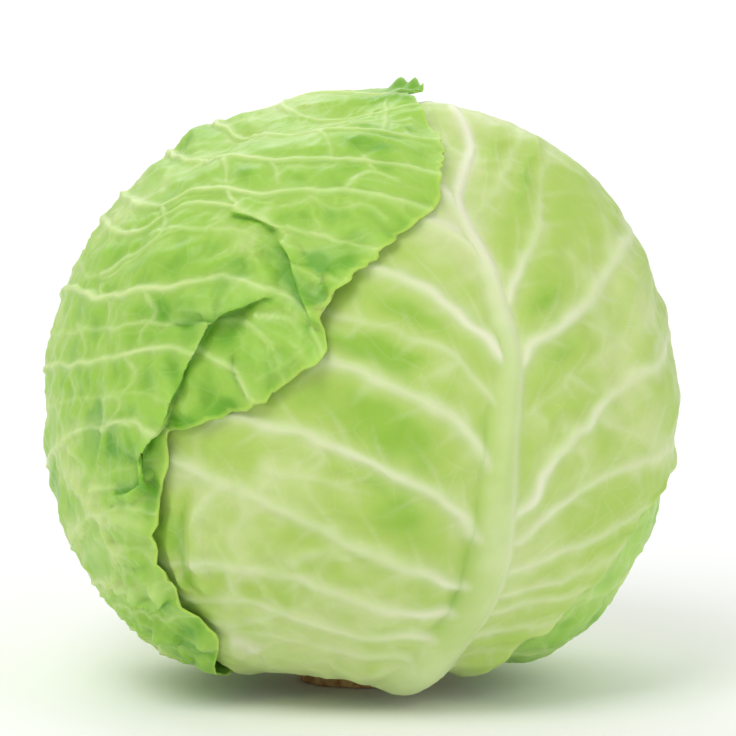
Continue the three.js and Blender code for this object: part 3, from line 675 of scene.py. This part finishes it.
def plain_leaf(azimuth, half_width, tip, veins, **given):
    """A leaf given only by its midrib's azimuth, its reach and how many side veins it has."""
    leaf_map = LeafMap(azimuth, 0)
    stations = veins + 1
    rise = [FOOT + (tip - FOOT) * k / stations for k in range(stations + 1)]
    midrib = [leaf_map.direction(np.array([0, up])) for up in rise]

    def side(sign):
        rows = []
        for k in range(stations + 1):
            share = k / stations
            start = leaf_map.place(midrib[k])
            turn = math.radians(5 + 171 * share**0.9)
            middle, reach = (FOOT + tip + 12) / 2, (tip + 12 - FOOT) / 2
            out = half_width * math.sin(turn) ** 0.75 + 2
            end = np.array([sign * out, middle - reach * math.cos(turn)])
            if k == stations:
                end[1] = tip + 3
            bend = np.array([(start[0] * 1.2 + end[0]) / 2.2, start[1] + (end[1] - start[1]) * 0.34])
            vein = 0 if k in (0, stations) else 0.9 - 0.4 * share
            rows.append((k, vein, [leaf_map.direction(bend), leaf_map.direction(end)]))
        return rows

    return dict(map=leaf_map, midrib=midrib, right=side(1), left=side(-1), **given)


bpy.ops.object.select_all(action="DESELECT")
bpy.ops.mesh.primitive_ico_sphere_add(subdivisions=6, radius=1, location=(0, 0, 0))
core = bpy.context.object
core.name = core.data.name = "heart_core"
ways = np.empty(3 * len(core.data.vertices))
core.data.vertices.foreach_get("co", ways)
ways = unit(ways.reshape(-1, 3))
shaped = ways * core_radius(ways)[:, None] + [0, 0, CENTRE_HEIGHT]
core.data.vertices.foreach_set("co", (shaped * 0.001).ravel())
core.data.update()
bpy.ops.object.shade_smooth()
heart_skin = leaf_skin(
    "heart leaf skin",
    pale=colour(226, 232, 190),
    green=colour(206, 222, 150),
    deep=colour(172, 204, 104),
    vein=colour(238, 240, 214),
    edge=colour(226, 232, 180),
    netting=0.08,
)
core.data.materials.append(heart_skin)
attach(core, "root")
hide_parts("heart")

heart_leaves = dict(
    columns=(45, 45),
    rows=120,
    rib_width=([0, 0.5, 1], [9, 5, 1.5]),
    rib_height=([0, 0.15, 1], [0.7, 2.6, 0.5]),
    rib_pale=([0, 1], [0.9, 0.9]),
    vein=(1.2, 2.4, 0.7),
    small_veins=0.15,
    pucker=0.8,
    crumple=0.2,
    ruffle=1.2,
    nibble=0.8,
    green=lambda ways, share, quilt: 0.35 + 0.3 * quilt,
    half_width=66,
    tip=70,
    veins=7,
)
laid = []
for name, azimuth, seed in (("heart_leaf_left", -62, 41), ("heart_leaf_right", 72, 53)):
    leaf = plain_leaf(azimuth, seed=seed, **heart_leaves)
    laid.append(leaf_object(name, "heart", leaf, laid, heart_skin))

# The rear wrapper leaf: firm green blade with a pale midrib up the back of the head.
# It grows from the stump and wraps both flanks, and the front leaf lies over its edge.
wrapper_skin = leaf_skin(
    "green wrapper leaf skin",
    pale=colour(200, 225, 132),
    green=colour(168, 212, 92),
    deep=colour(122, 184, 50),
    vein=colour(226, 238, 176),
    edge=colour(206, 230, 122),
    netting=0.14,
)
rear = plain_leaf(
    146,
    half_width=74,
    tip=86,
    veins=10,
    seed=37,
    columns=(81, 81),
    rows=240,
    rib_width=([0, 0.1, 0.4, 0.8, 1], [11, 9.5, 6, 3, 1]),
    rib_height=([0, 0.12, 0.4, 0.8, 1], [1.2, 5, 3.8, 1.4, 0.5]),
    rib_pale=([0, 1], [0.85, 0.85]),
    vein=(1.4, 2.6, 0.65),
    small_veins=0.3,
    pucker=1.0,
    crumple=0.55,
    ruffle=1.4,
    nibble=1.3,
    green=lambda ways, share, quilt: 0.3 + 0.3 * smooth(0, 0.6, share) * quilt,
)
rear["left"] = [
    row(0, 0, at(126, FOOT + 0.5), at(108, FOOT + 1.5)),
    row(1, 0.6, at(112, -61), at(82, -61), at(58, -58)),
    row(2, 0.9, at(112, -46), at(76, -48), at(42, -50)),
    row(3, 0.9, at(112, -30), at(80, -32), at(51, -34)),
    row(4, 0.9, at(112, -14), at(84, -13), at(60, -14)),
    row(5, 0.8, at(112, 2), at(87, 7), at(68, 8)),
    row(6, 0.8, at(112, 17), at(90, 24), at(74, 28)),
    row(7, 0.7, at(112, 32), at(92, 41), at(77, 45)),
    row(8, 0.7, at(114, 47), at(95, 57), at(80, 61)),
    row(9, 0.6, at(118, 61), at(98, 70), at(82, 74)),
    row(10, 0.5, at(126, 75), at(100, 82), at(50, 84)),
    row(11, 0, at(40, 87), at(10, 84)),
]
laid.append(leaf_object("leaf_rear_blade", "leaf_rear", rear, laid, wrapper_skin))

# The front leaf: broad and pale, with the thick white midrib up the front of the head, right of the middle.
# Its side veins sweep out and up to the margin, which laps over the rear leaf on the right.
front_skin = leaf_skin(
    "pale wrapper leaf skin",
    pale=colour(202, 222, 143),
    green=colour(177, 208, 96),
    deep=colour(143, 190, 56),
    vein=colour(229, 234, 200),
    edge=colour(208, 230, 136),
    netting=0.09,
)
RIB_SHARES = [0, 0.09, 0.15, 0.29, 0.42, 0.55, 0.65, 0.76, 1]
front = dict(
    map=LeafMap(8, 8),
    seed=11,
    columns=(120, 120),
    rows=300,
    rib_width=(RIB_SHARES, [12, 10, 8, 6.3, 5, 3.2, 2.1, 1.7, 0.8]),
    rib_height=(RIB_SHARES, [1.5, 4.8, 4.8, 3.8, 2.4, 1.3, 0.8, 0.6, 0.4]),
    lean=0.04,
    rib_pale=([0, 0.12, 0.45, 0.62, 0.8, 1], [0.4, 0.32, 0.3, 0.85, 0.95, 0.8]),
    vein=(1.4, 2.4, 0.86),
    small_veins=0.12,
    pucker=0.8,
    crumple=lambda ways: 0.16 + 0.6 * swelling(ways, seen(-30, -62), 26),
    ruffle=1.3,
    nibble=1.2,
    midrib=[
        at(12, FOOT),
        at(15, -66),
        at(18, -57),
        seen(25, -71),
        seen(31, -64),
        seen(35.5, -56),
        seen(38.5, -48),
        seen(40, -38),
        seen(41, -26),
        seen(42, -13),
        seen(43.5, 0),
        seen(44.5, 11),
        seen(42.5, 21),
        seen(40.5, 31),
        seen(37, 41),
        seen(32, 50),
        seen(29, 58),
        seen(31, 67),
        seen(33.5, 75),
        at(82, 72),
        at(112, 71),
        at(136, 60),
    ],
    right=[
        row(0, 0, at(28, FOOT + 0.5), at(44, FOOT + 1.5)),
        row(1, 0, at(27, -65), at(42, -62)),
        row(2.2, 0.3, (33, -74), (38, -72.5), (45, -71)),
        row(3.3, 0.6, (37, -68), (42, -66.5), (48, -65), (56.5, -62.5)),
        row(4.1, 0.7, (41, -62), (46, -60), (52, -58), (57, -56.5), (65, -52.5)),
        row(4.8, 0.7, (44, -56.5), (53, -53.5), (63, -48.5), (74, -42)),
        row(5.6, 0.9, (46.5, -50), (55, -46), (65, -41), (75, -34), (80.5, -30)),
        row(6.5, 0.9, (48.5, -40.5), (54, -34.5), (66, -26), (76, -19.5), (88, -11)),
        row(7.2, 1.2, (49, -31), (53, -23.5), (58, -15.5), (66, -8), (74, 1.5), (83, 9.5), at(88, 12),
            at(101, 10)),
        row(9.2, 0.2, (48, -6), (57, 2), (68, 10), (79, 19), at(90, 20), at(107, 20)),
        row(10.6, 1.2, (50, 15), (60, 22), (69, 31), (74, 41), (78, 50), at(112, 31)),
        row(12.2, 0.3, (43.5, 30), (48.5, 40.5), (53.5, 49.5), (54, 60), (54, 67), at(104, 50), at(122, 44)),
        row(15, 0.3, (34.5, 54), (40, 61), (44, 68), at(88, 59), at(110, 55), at(131, 43)),
        row(18.4, 0.2, at(78, 67), at(100, 66), at(120, 58), at(139, 42)),
        row(21, 0.4, at(141, 53), at(145, 44)),
    ],
    left=[
        row(0, 0, at(-2, FOOT + 0.5), at(-20, FOOT + 1.5)),
        row(0.9, 0.2, at(3, -65), at(-14, -62), at(-32, -58), at(-43, -55)),
        row(2.3, 0.7, (13, -72.5), (-4, -73), (-20, -70), (-38, -67.5), (-49, -65)),
        row(3.2, 0.9, (16, -66.5), (0, -67.5), (-14, -65), (-30, -59), (-46, -58.5), (-54, -59)),
        row(4.1, 1, (22, -61.5), (10, -60), (-6, -56), (-20, -51.5), (-36, -49.2), (-52, -47.5), (-63, -47)),
        row(5.2, 1, (27, -53.5), (15, -48), (1, -42.8), (-16, -35.5), (-30, -28.3), (-43, -23.8), (-54, -21),
            (-66, -19)),
        row(6.6, 1.1, (33.5, -39), (27, -30.5), (16, -24.3), (3, -18), (-15, -10.7), (-35, -5.7), (-55, -2),
            (-68, 2)),
        row(8.3, 1.1, (36.5, -17), (28, -6.5), (15, 1), (0, 8), (-8, 10.5), (-25, 16), (-45, 22), (-62, 28)),
        row(9.6, 0.5, (37, 2), (28, 11), (10, 19), (-7, 24), (-25, 33), (-52, 48)),
        row(10.7, 1.2, (40, 14.5), (30, 23.5), (20, 30.2), (5, 36.8), (-12, 45), (-40, 64)),
        row(13.8, 0.8, (30, 46.5), (21, 49.3), (8, 57), (-6, 68), at(-60, 73)),
        row(15.7, 0.9, (24, 60), (16, 66), (9, 74), at(-20, 82), at(-150, 76)),
        row(17.3, 0.3, at(60, 77), at(120, 82), at(-178, 64)),
        row(19.3, 0.4, at(104, 76), at(142, 68), at(164, 53)),
        row(21, 0.4, at(141, 53), at(145, 44)),
    ],
)
front["creases"] = [
    (-1.8, 1.8, 0, [(38, 4), (37, -10), (35, -23), (34, -35), (31.5, -46), (29.5, -54), (24, -64),
        (14, -71)]),
    (1.0, 1.6, 0, [(-52, -25), (-54, -32), (-54.5, -38), (-54, -44), (-52, -50), (-48, -58)]),
    (-2.8, 0.9, 0, [(-48.8, -26), (-51, -33), (-51.2, -40), (-50.4, -47), (-48.8, -53), (-44.5, -58)]),
    (1.6, 2.2, 0, [(-45.5, -28), (-47.5, -34), (-47.5, -41), (-46.5, -48), (-45, -53), (-41, -58)]),
    (0.7, 1.3, 0.5, [(30.5, 59.5), (26, 61), (21, 60.5)]),
    (0, 4.5, 0.85, [(-38, -70), (-33.5, -71.5), (-28.5, -74.5)]),
    (0, 4.0, 0.9, [(32.5, 47), (30.5, 53), (27, 58), (21, 60.5)]),
    (0, 3.5, 0.8, [(32, 48), (24, 50), (16, 53.5)]),
]
front["branches"] = [
    (0.95, (-54, -18), (-46, -21.5), (-38, -25), (-29.5, -28), (-22, -33)),
    (0.8, (-47, -47), (-36, -48.5), (-22, -50), (-8, -55)),
    (0.7, (-56, 2), (-46, -1.5), (-34, -5.5), (-20, -9)),
    (0.95, (43.3, 29.5), (48.5, 40.5), (52.6, 48), (54.5, 57)),
    (0.4, (-29.3, -28), (-26.4, -23.9), (-24.4, -20)),
    (0.35, (-25.2, -21), (-18.6, -22.3), (-8.8, -23.9), (2, -27)),
    (0.4, (-19.4, -48), (-16.1, -45.7), (-8.8, -44.5), (0, -47)),
    (0.5, (-40.8, -65.4), (-34.2, -65.4), (-27.7, -63.8), (-19.4, -62.2), (-8.8, -65.4)),
    (0.4, (-18.6, -51), (-17.8, -57), (-19.4, -62.2)),
    (0.4, (-44, -29), (-46.6, -39), (-45.3, -48)),
    (0.4, (-38, -49), (-35, -56), (-30, -60)),
    (0.35, (-35, -25.5), (-33, -33), (-36, -40), (-33, -48)),
    (0.35, (-12, -36.5), (-8, -43), (-12, -53)),
    (0.3, (-14, -11), (-10, -17), (-15, -23)),
    (0.35, (60, -9), (66, -18), (64, -27)),
    (0.35, (70, -6), (79, -10), (86, -14)),
    (0.3, (62, 6), (70, 2), (77, 4)),
    (0.35, (64, 26), (70, 20), (78, 18)),
    (0.3, (30, 10), (22, 8), (14, 1)),
]
front["curls"] = [(2.0, at(-8, -62), 20)]
# Green patches, by mm across and up in the front view and width in degrees. Those in the middle of the leaf,
# round (6, 6), are painted shade that darkens it.
GREEN_AND_SHADE_PATCHES = [
    (55, 27, 8), (50, 47, 9), (50, 62, 9), (45, 70, 8), (60, 14, 8), (14, 14, 11), (8, 18, 8), (-53, -40, 5),
    (6, 6, 14), (15, -12, 10), (10, -33, 9), (-10, -47, 9), (-20, 0, 10), (78, -36, 10), (72, -50, 9),
]


def front_green(ways, share, quilt):
    """Greener in patches between the veins, and paler towards the midrib and the foot. The patches in the
    middle of the leaf are painted shade.
    """
    green = 0.22 + 0.3 * smooth(0.1, 0.9, share) * quilt
    for across, up, width in GREEN_AND_SHADE_PATCHES:
        green = green + 0.45 * swelling(ways, seen(across, up), width) * (0.25 + 0.75 * quilt)
    return green - 0.2 * smooth(-0.35, -0.85, ways[..., 2])


front["green"] = front_green
laid.append(leaf_object("leaf_front_blade", "leaf_front", front, laid, front_skin))

# The left leaf: the outermost, bright green and thin, wrapped from behind over the left flank and the crown.
# It is creased where it was bent over the front leaf, and its torn margin ends in a curled tip on the crown.
left_skin = leaf_skin(
    "bright wrapper leaf skin",
    pale=colour(196, 221, 132),
    green=colour(159, 204, 78),
    deep=colour(98, 164, 28),
    vein=colour(218, 234, 164),
    edge=colour(202, 232, 104),
    netting=0.09,
)


def left_crumple(ways):
    """Crushed most at its lower left and round the folds."""
    crushed = 0.6
    places = (1.3, -66, -50, 24), (0.9, -18, 36, 15), (0.6, -56, -8, 14), (-0.4, -25, 72, 24)
    for amount, across, up, width in places:
        crushed = crushed + amount * swelling(ways, seen(across, up), width)
    return crushed


left = dict(
    map=LeafMap(-100, 12),
    seed=23,
    columns=(183, 48),
    rows=360,
    weights=(1, 0.25),
    rib_width=([0, 0.1, 0.3, 0.6, 1], [11, 9, 6, 3, 1]),
    rib_height=([0, 0.1, 0.3, 0.6, 1], [1.3, 4.5, 3.6, 1.8, 0.5]),
    rib_pale=([0, 1], [0.8, 0.8]),
    vein=(1.3, 1.15, 0.9),
    fading=0.45,
    small_veins=0.06,
    small_pale=0.2,
    pucker=1.0,
    crumple=left_crumple,
    ruffle=0.9,
    nibble=2.1,
    torn=[(3.4, seen(-46, -64), 9), (1.6, seen(-8, 24), 8)],
    midrib=[
        at(-128, FOOT),
        at(-126, -66),
        at(-124, -54),
        at(-123, -42),
        at(-122, -30),
        at(-122, -18),
        at(-122, -6),
        at(-122, 6),
        at(-122, 18),
        at(-123, 30),
        at(-124, 42),
        at(-126, 54),
        at(-130, 66),
        at(-138, 76),
        at(-170, 85),
        at(110, 84),
    ],
    right=[
        row(0, 0, at(-112, FOOT + 0.5), at(-98, FOOT + 1.5)),
        row(0.5, 0.2, at(-105, -70), at(-84, -65), at(-56, -61)),
        row(0.9, 0.6, at(-100, -65), (-56, -70), (-50, -71), (-39.5, -71)),
        row(1.5, 0.6, at(-104, -58), (-70, -60), (-57, -62), (-46, -61)),
        row(2.1, 0.9, at(-106, -49), (-76, -53), (-67, -54.5), (-60, -54), (-52.5, -50.5)),
        row(2.5, 0.3, at(-106, -43), (-77, -44), (-68, -42), (-56.3, -41)),
        row(2.9, 0.9, at(-106, -36), (-81, -38), (-74, -33), (-66, -31.3), (-56, -32)),
        row(3.4, 0.2, at(-105, -28), (-84, -22), (-74, -22), (-62, -19), (-53, -20)),
        row(3.9, 1, at(-106, -20), (-87, -14), (-80, -9), (-72, -8), (-60, -5.5), (-52.5, -11)),
        row(4.6, 0.3, at(-105, -9), (-84, -1), (-70, 1), (-55, 1), (-46, -8.5)),
        row(5.1, 1, at(-104, -1), (-85, 10), (-70, 11.3), (-50, 14.5), (-42, 11.5), (-32, 5.5), (-28.5, -2)),
        row(5.9, 0.5, at(-104, 8), (-82, 19), (-60, 21), (-44, 21.5), (-32, 20), (-22, 12), (-20.5, 4.5)),
        row(6.6, 1.2, at(-104, 16), (-81, 31.5), (-70, 29), (-48, 32), (-35, 34), (-20, 28.5), (-14, 21),
            (-9, 12)),
        row(7.2, 0, at(-104, 22), (-77, 33), (-65, 37.5), (-48, 42), (-32, 41), (-18, 32), (-9.4, 24.6)),
        row(7.6, 0.4, at(-104, 26), (-75, 35), (-62, 42), (-48, 47.6), (-30, 45.5), (-16, 36), (-2.4, 31.5)),
        row(8.3, 0.9, at(-104, 33), (-66, 48.5), (-48, 55), (-34, 54), (-18, 47.5), (-5, 42.5), (7, 40.5)),
        row(8.9, 1.1, at(-104, 39), (-60, 56), (-45, 59), (-20, 57.8), (0, 56.5), (20.5, 52)),
        row(10.2, 1, at(-104, 51), (-45, 69.5), (-25, 67.2), (-5, 66.5), (8, 65), (23, 62)),
        row(11.3, 0.9, at(-104, 62), (-30, 77.5), (-12, 75), (5, 74.3), (24, 73)),
        row(12.5, 0.8, (-18, 83.5), (-5, 82.3), (8, 82.8), (17.5, 82.5)),
        row(15, 0.6, at(92, 82.5), at(82, 80.5)),
    ],
    left=[
        row(0, 0, at(-142, FOOT + 0.5), at(-152, FOOT + 1.5)),
        row(1, 0.3, at(-142, -64), at(-160, -60)),
        row(2, 0.8, at(-140, -50), at(-158, -46), at(-172, -44)),
        row(3.2, 0.9, at(-140, -35), at(-164, -30), at(-183, -27)),
        row(4.4, 1, at(-140, -20), at(-166, -14), at(-189, -10)),
        row(5.7, 1, at(-140, -3), at(-166, 4), at(-191, 8)),
        row(7, 1, at(-140, 14), at(-165, 22), at(-189, 26)),
        row(8.3, 0.9, at(-140, 30), at(-164, 39), at(-186, 43)),
        row(9.8, 0.8, at(-144, 46), at(-168, 55), at(-188, 57)),
        row(11.4, 0.7, at(-150, 61), at(-176, 67), at(-200, 66)),
        row(13, 0.5, at(-175, 78), at(-215, 77), at(-236, 76)),
        row(15, 0.6, at(116, 80.5), at(120, 78)),
    ],
    folds=[
        (3.8, 3.0, 16, [(-19, 28.5), (-27, 27.5), (-32.5, 25), (-40, 22), (-44, 15), (-48.5, 7.4),
            (-51.7, -1), (-53.6, -7), (-57.7, -12.5), (-61, -17), (-66, -21)]),
        (3.4, 1.6, 5, [(-12.5, 18), (-13.5, 23.4), (-15.4, 27.2), (-17.3, 32.9), (-19.3, 39.7), (-24, 45)]),
        (2.6, 1.8, 9, [(-21, 46.5), (-25, 48.5), (-30, 51), (-37, 52)]),
        (2.0, 1.3, 4.5, [(-70, -26.8), (-67, -27), (-63.5, -26), (-60.7, -23.8), (-59, -20), (-58.1, -14.2)]),
        (3.0, 1.6, 5, [(-55.5, -8), (-58, -13.5), (-57.5, -20.4), (-56.8, -29)]),
        (2.4, 1.8, 8, [(-52, -55), (-56, -58), (-60, -57.5), (-65, -55)]),
        (2.2, 1.6, 8, [(-49, -70), (-53, -69), (-58, -66)]),
    ],
    creases=[
        (1.4, 1.2, 0.2, [(-34, 36.5), (-30.4, 39.3), (-27.6, 42.1), (-24.9, 44.9), (-22, 48)]),
        (0.9, 0.9, 0.2, [(-34, 46.9), (-30, 46.3), (-24.5, 45.2)]),
        (1.2, 1.0, 0.2, [(-11, 17), (-15.1, 13.4), (-18.4, 10.6), (-20.7, 8.8), (-24.9, 6.4), (-30, 3.5)]),
        (-1.0, 0.9, 0, [(-72.5, -29.3), (-67.5, -30.6), (-64, -30.5), (-59.5, -28.6)]),
        (-0.9, 0.9, 0, [(-66, -43.8), (-62, -43.2), (-58, -44)]),
        (0.9, 1.2, 0.5, [(-76, -26), (-76.5, -31), (-77, -37), (-82, -41)]),
        (0.9, 1.2, 0.5, [(-76, -38.8), (-67.5, -43), (-66.6, -53.3), (-71, -57)]),
        (0.9, 1.2, 0.4, [(-66.6, -55), (-58, -53.6), (-53.3, -53), (-50.7, -50.7)]),
        (0.9, 2.0, 0.4, [(-74, -35), (-67, -34.4), (-57.5, -35)]),
        (-0.9, 0.9, 0, [(-48, -71), (-44, -72), (-41, -72.5)]),
        (0.3, 2.0, 0.45, [(-88, -44), (-82, -39), (-75, -34.2), (-66, -33), (-58, -34.5)]),
        (0.3, 2.0, 0.45, [(-87, -15), (-82, -9), (-74, -7), (-64, -6)]),
        (0.3, 2.0, 0.4, [(-76, -57), (-70, -54), (-62, -53), (-54, -52)]),
        (-1.8, 0.9, 0, [(-54, 21.5), (-49, 21), (-46, 22.2), (-42, 22.8), (-38, 21.5)]),
        (1.2, 1.1, 0.2, [(-52, 24), (-46, 24.8), (-40, 25.2), (-34, 27.5)]),
        (-2.0, 1.0, 0, [(-16, 43), (-12.5, 38), (-9, 31), (-8.6, 25)]),
        (1.4, 1.0, 0.3, [(-17, 36), (-13, 31), (-9, 27.5), (-5.5, 25.5)]),
        (1.2, 0.9, 0.3, [(-24, 46.5), (-17, 41.5), (-9, 41.5), (-2, 43), (5, 46)]),
        (-1.2, 0.9, 0, [(-20, 38.5), (-14, 37.2), (-8, 39)]),
        (-1.2, 0.9, 0, [(-55.6, -67), (-51.5, -72), (-51.9, -75)]),
        (-1.8, 0.9, 0, [(-50, -70.4), (-44.1, -72), (-41, -71.6)]),
        (1.4, 0.9, 0.2, [(-51, -68), (-45, -69.5), (-40.5, -70)]),
        (-1.2, 0.8, 0, [(-46.6, -73.5), (-45.3, -77)]),
        (-1.0, 0.8, 0, [(-30, -1), (-33, 3), (-35, 9), (-34, 14)]),
        (1.0, 0.9, 0.2, [(-20, 5), (-24, 9), (-25, 15), (-29, 20)]),
        (-0.8, 0.8, 0, [(-10, 37), (-6, 33), (-3, 31)]),
    ],
    swells=[(1.6, seen(-28, 13), 11), (1.2, seen(-62, 2), 14), (3.5, at(145, 76.8), 2.3),
        (3.0, at(132, 76.4), 1.8), (2.4, at(121, 75.8), 1.4)],
    curls=[(0.8, at(138, 78), 6), (3.2, seen(-3, 32), 3.5), (1.6, seen(-20, 5), 7), (0.3, at(-55, -60), 16)],
    branches=[
        (0.5, (-25, 67.2), (-23.5, 65), (-22.5, 61)),
        (0.5, (-37.5, 68), (-37, 64), (-38, 59.5)),
        (0.6, (-57, 56), (-56, 52), (-55.5, 47.5)),
        (0.6, (-75, 36), (-65, 42), (-57, 45), (-55, 47.5), (-42, 47.5)),
        (0.6, (-37, 58.5), (-34, 55), (-30, 53), (-25, 50.5)),
        (0.6, (-76, -26), (-70, -24.5), (-64, -24)),
        (0.5, (-75, -40), (-70, -43), (-67, -50), (-66, -55)),
        (0.5, (-39, 21.5), (-30, 19.5), (-26, 16)),
        (0.6, (-44, 13.5), (-40, 11), (-35, 8), (-32, 5.5)),
        (0.5, (-28, 22), (-20, 22), (-15, 17)),
        (0.6, (-13, 75), (-4.6, 77.7), (7.3, 79.3), (15, 79.7)),
        (0.5, (-2.3, 58), (0.9, 61.4), (4.9, 62), (11.2, 59.8)),
        (0.4, (-11, 75), (-7.4, 69.7), (-7, 67)),
        (0.4, (1.7, 67), (4.1, 63.4), (4.5, 62)),
        (0.4, (7.7, 85), (8.5, 79.3), (6, 74.5)),
        (0.5, (-60, 47.3), (-52, 47.7), (-43, 47.7), (-36.6, 51.8)),
        (0.4, (-72, 0), (-66.6, 0), (-65.7, -2), (-68.4, -6)),
        (0.4, (-50.2, 2), (-47.5, -5)),
        (0.4, (-75, 33), (-72, 24), (-75, 16), (-74, 11)),
        (0.4, (-60, 30), (-57, 24), (-61, 18), (-60, 13)),
        (0.4, (-82, 22), (-79, 14), (-83, 6), (-80, -2)),
        (0.4, (-66, 12), (-62, 6), (-66, 0)),
        (0.5, (-83, -14), (-78, -20), (-80, -26), (-76, -31)),
        (0.5, (-68, -33), (-64, -39), (-67, -46)),
        (0.4, (8, 50), (3, 53), (-6, 52), (-13, 56)),
    ],
)


def left_green(ways, share, quilt):
    """Greener towards the margin, most of all in the curled tip, where the deep green is partly painted shade
    in the curls, and dull at the lower left.
    """
    green = 0.34 + 0.34 * smooth(0.2, 0.95, share) * (0.4 + 0.6 * quilt)
    green = green - 0.35 * swelling(ways, seen(-76, -42), 14)
    # The deep green on the curled tip at the crown is partly its own colour and partly painted shade.
    return green + 1.1 * swelling(ways, at(130, 78), 7)


PLEATS = 6
for k in range(PLEATS):
    line = [(-72 + k, -37 - 3.6 * k), (-66, -36 - 3.6 * k), (-61, -37 - 3.6 * k), (-57, -36 - 3.4 * k)]
    left["creases"].append((1.1 * (-1) ** k, 0.9, 0.1, line))
left["green"] = left_green
laid.append(leaf_object("leaf_left_blade", "leaf_left", left, laid, left_skin))

# The stump: the stem cut off square. Its skin is brown and dry round the cut, and the cut face is paler; here
# skin and cut face share one colour, brown mottled with pale by one noise for the fibres of the stem.
STUMP_RADIUS = 0.0175
STUMP_HEIGHT = 0.0206
bpy.ops.object.select_all(action="DESELECT")
bpy.ops.mesh.primitive_cylinder_add(
    vertices=96, radius=STUMP_RADIUS, depth=STUMP_HEIGHT, location=(0, 0, STUMP_HEIGHT / 2)
)
stump = bpy.context.object
stump.name = stump.data.name = "stump_stem"
bpy.ops.object.mode_set(mode="EDIT")
bpy.ops.mesh.select_all(action="SELECT")
bpy.ops.mesh.subdivide(number_cuts=5)
bpy.ops.object.mode_set(mode="OBJECT")
bpy.ops.object.transform_apply(location=True, rotation=True, scale=True)
co = np.empty(3 * len(stump.data.vertices))
stump.data.vertices.foreach_get("co", co)
co = co.reshape(-1, 3)
out = np.hypot(co[:, 0], co[:, 1])
rise = co[:, 2] / STUMP_HEIGHT
turn = np.arctan2(co[:, 1], co[:, 0])
swell = 1 + 0.02 * np.sin(5 * turn + 1) + 0.012 * np.sin(11 * turn) - 0.14 * smooth(0.1, 1, rise)
swell = np.where(out > 0.016, swell, 1)
co[:, :2] *= swell[:, None]
stump.data.vertices.foreach_set("co", co.ravel())
stump.data.update()
bevel = stump.modifiers.new("rounded rim", "BEVEL")
bevel.width, bevel.segments, bevel.limit_method = 0.0008, 3, "ANGLE"
bpy.ops.object.modifier_apply(modifier=bevel.name)
bpy.ops.object.shade_smooth()
stem_bark = bpy.data.materials.new("cut stem")
stem_bark.use_nodes = True
nodes, links = stem_bark.node_tree.nodes, stem_bark.node_tree.links
where = nodes.new("ShaderNodeTexCoord")
fibre = nodes.new("ShaderNodeTexNoise")
fibre.inputs["Scale"].default_value = 320
fibre.inputs["Detail"].default_value = 5
links.new(where.outputs["Object"], fibre.inputs["Vector"])
ramp = nodes.new("ShaderNodeValToRGB")
ramp.color_ramp.elements[0].color = colour(146, 96, 40)
ramp.color_ramp.elements[0].position = 0.3
ramp.color_ramp.elements[1].color = colour(214, 186, 118)
ramp.color_ramp.elements[1].position = 0.72
links.new(fibre.outputs["Fac"], ramp.inputs["Fac"])
links.new(ramp.outputs["Color"], nodes["Principled BSDF"].inputs["Base Color"])
nodes["Principled BSDF"].inputs["Roughness"].default_value = 0.75
rough = nodes.new("ShaderNodeBump")
rough.inputs["Strength"].default_value = 0.5
rough.inputs["Distance"].default_value = 0.0006
links.new(fibre.outputs["Fac"], rough.inputs["Height"])
links.new(rough.outputs["Normal"], nodes["Principled BSDF"].inputs["Normal"])
stump.data.materials.append(stem_bark)
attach(stump, "root")
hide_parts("stump")

# The studio: a plain pale floor, large soft lamps above and on both sides, and a long lens at the front.
bpy.ops.object.select_all(action="DESELECT")
bpy.ops.mesh.primitive_plane_add(size=6, location=(0, 0, -0.0002))
floor = bpy.context.object
floor.name = "floor"
floor_paint = bpy.data.materials.new("white floor")
floor_paint.use_nodes = True
floor_paint.node_tree.nodes["Principled BSDF"].inputs["Base Color"].default_value = (0.96, 0.96, 0.96, 1)
floor_paint.node_tree.nodes["Principled BSDF"].inputs["Roughness"].default_value = 0.9
floor.data.materials.append(floor_paint)

world = bpy.context.scene.world or bpy.data.worlds.new("studio")
bpy.context.scene.world = world
world.use_nodes = True
world.node_tree.nodes["Background"].inputs["Color"].default_value = (1, 1, 1, 1)
world.node_tree.nodes["Background"].inputs["Strength"].default_value = 0.62
middle = Vector((0, 0, CENTRE_HEIGHT * 0.001))
for name, place, size, power in (
    ("key lamp", (-0.6, -1.0, 1.7), 1.0, 14),
    ("fill lamp", (1.3, -0.9, 0.7), 1.4, 4.5),
    ("back lamp", (-0.6, 1.2, 1.2), 1.0, 5),
    ("far lamp", (0.2, 2.8, 1.7), 2.4, 18),
):
    bpy.ops.object.light_add(type="AREA", location=place)
    lamp = bpy.context.object
    lamp.name = name
    lamp.data.size = size
    lamp.data.energy = power
    lamp.rotation_euler = (middle - Vector(place)).to_track_quat("-Z", "Y").to_euler()

VIEW_WIDTH = 0.2086
DISTANCE = 5.0
ASIDE = 0.00283
ABOVE = 0.0085
aim = middle + Vector(ACROSS) * ASIDE + Vector(UP) * ABOVE
bpy.ops.object.camera_add(location=aim + Vector(TOWARDS) * DISTANCE)
camera = bpy.context.object
camera.rotation_euler = (-Vector(TOWARDS)).to_track_quat("-Z", "Y").to_euler()
camera.data.sensor_width = 36
camera.data.lens = 36 * DISTANCE / VIEW_WIDTH
camera.data.clip_end = 50
bpy.context.scene.camera = camera
bpy.context.scene.view_settings.view_transform = "Standard"
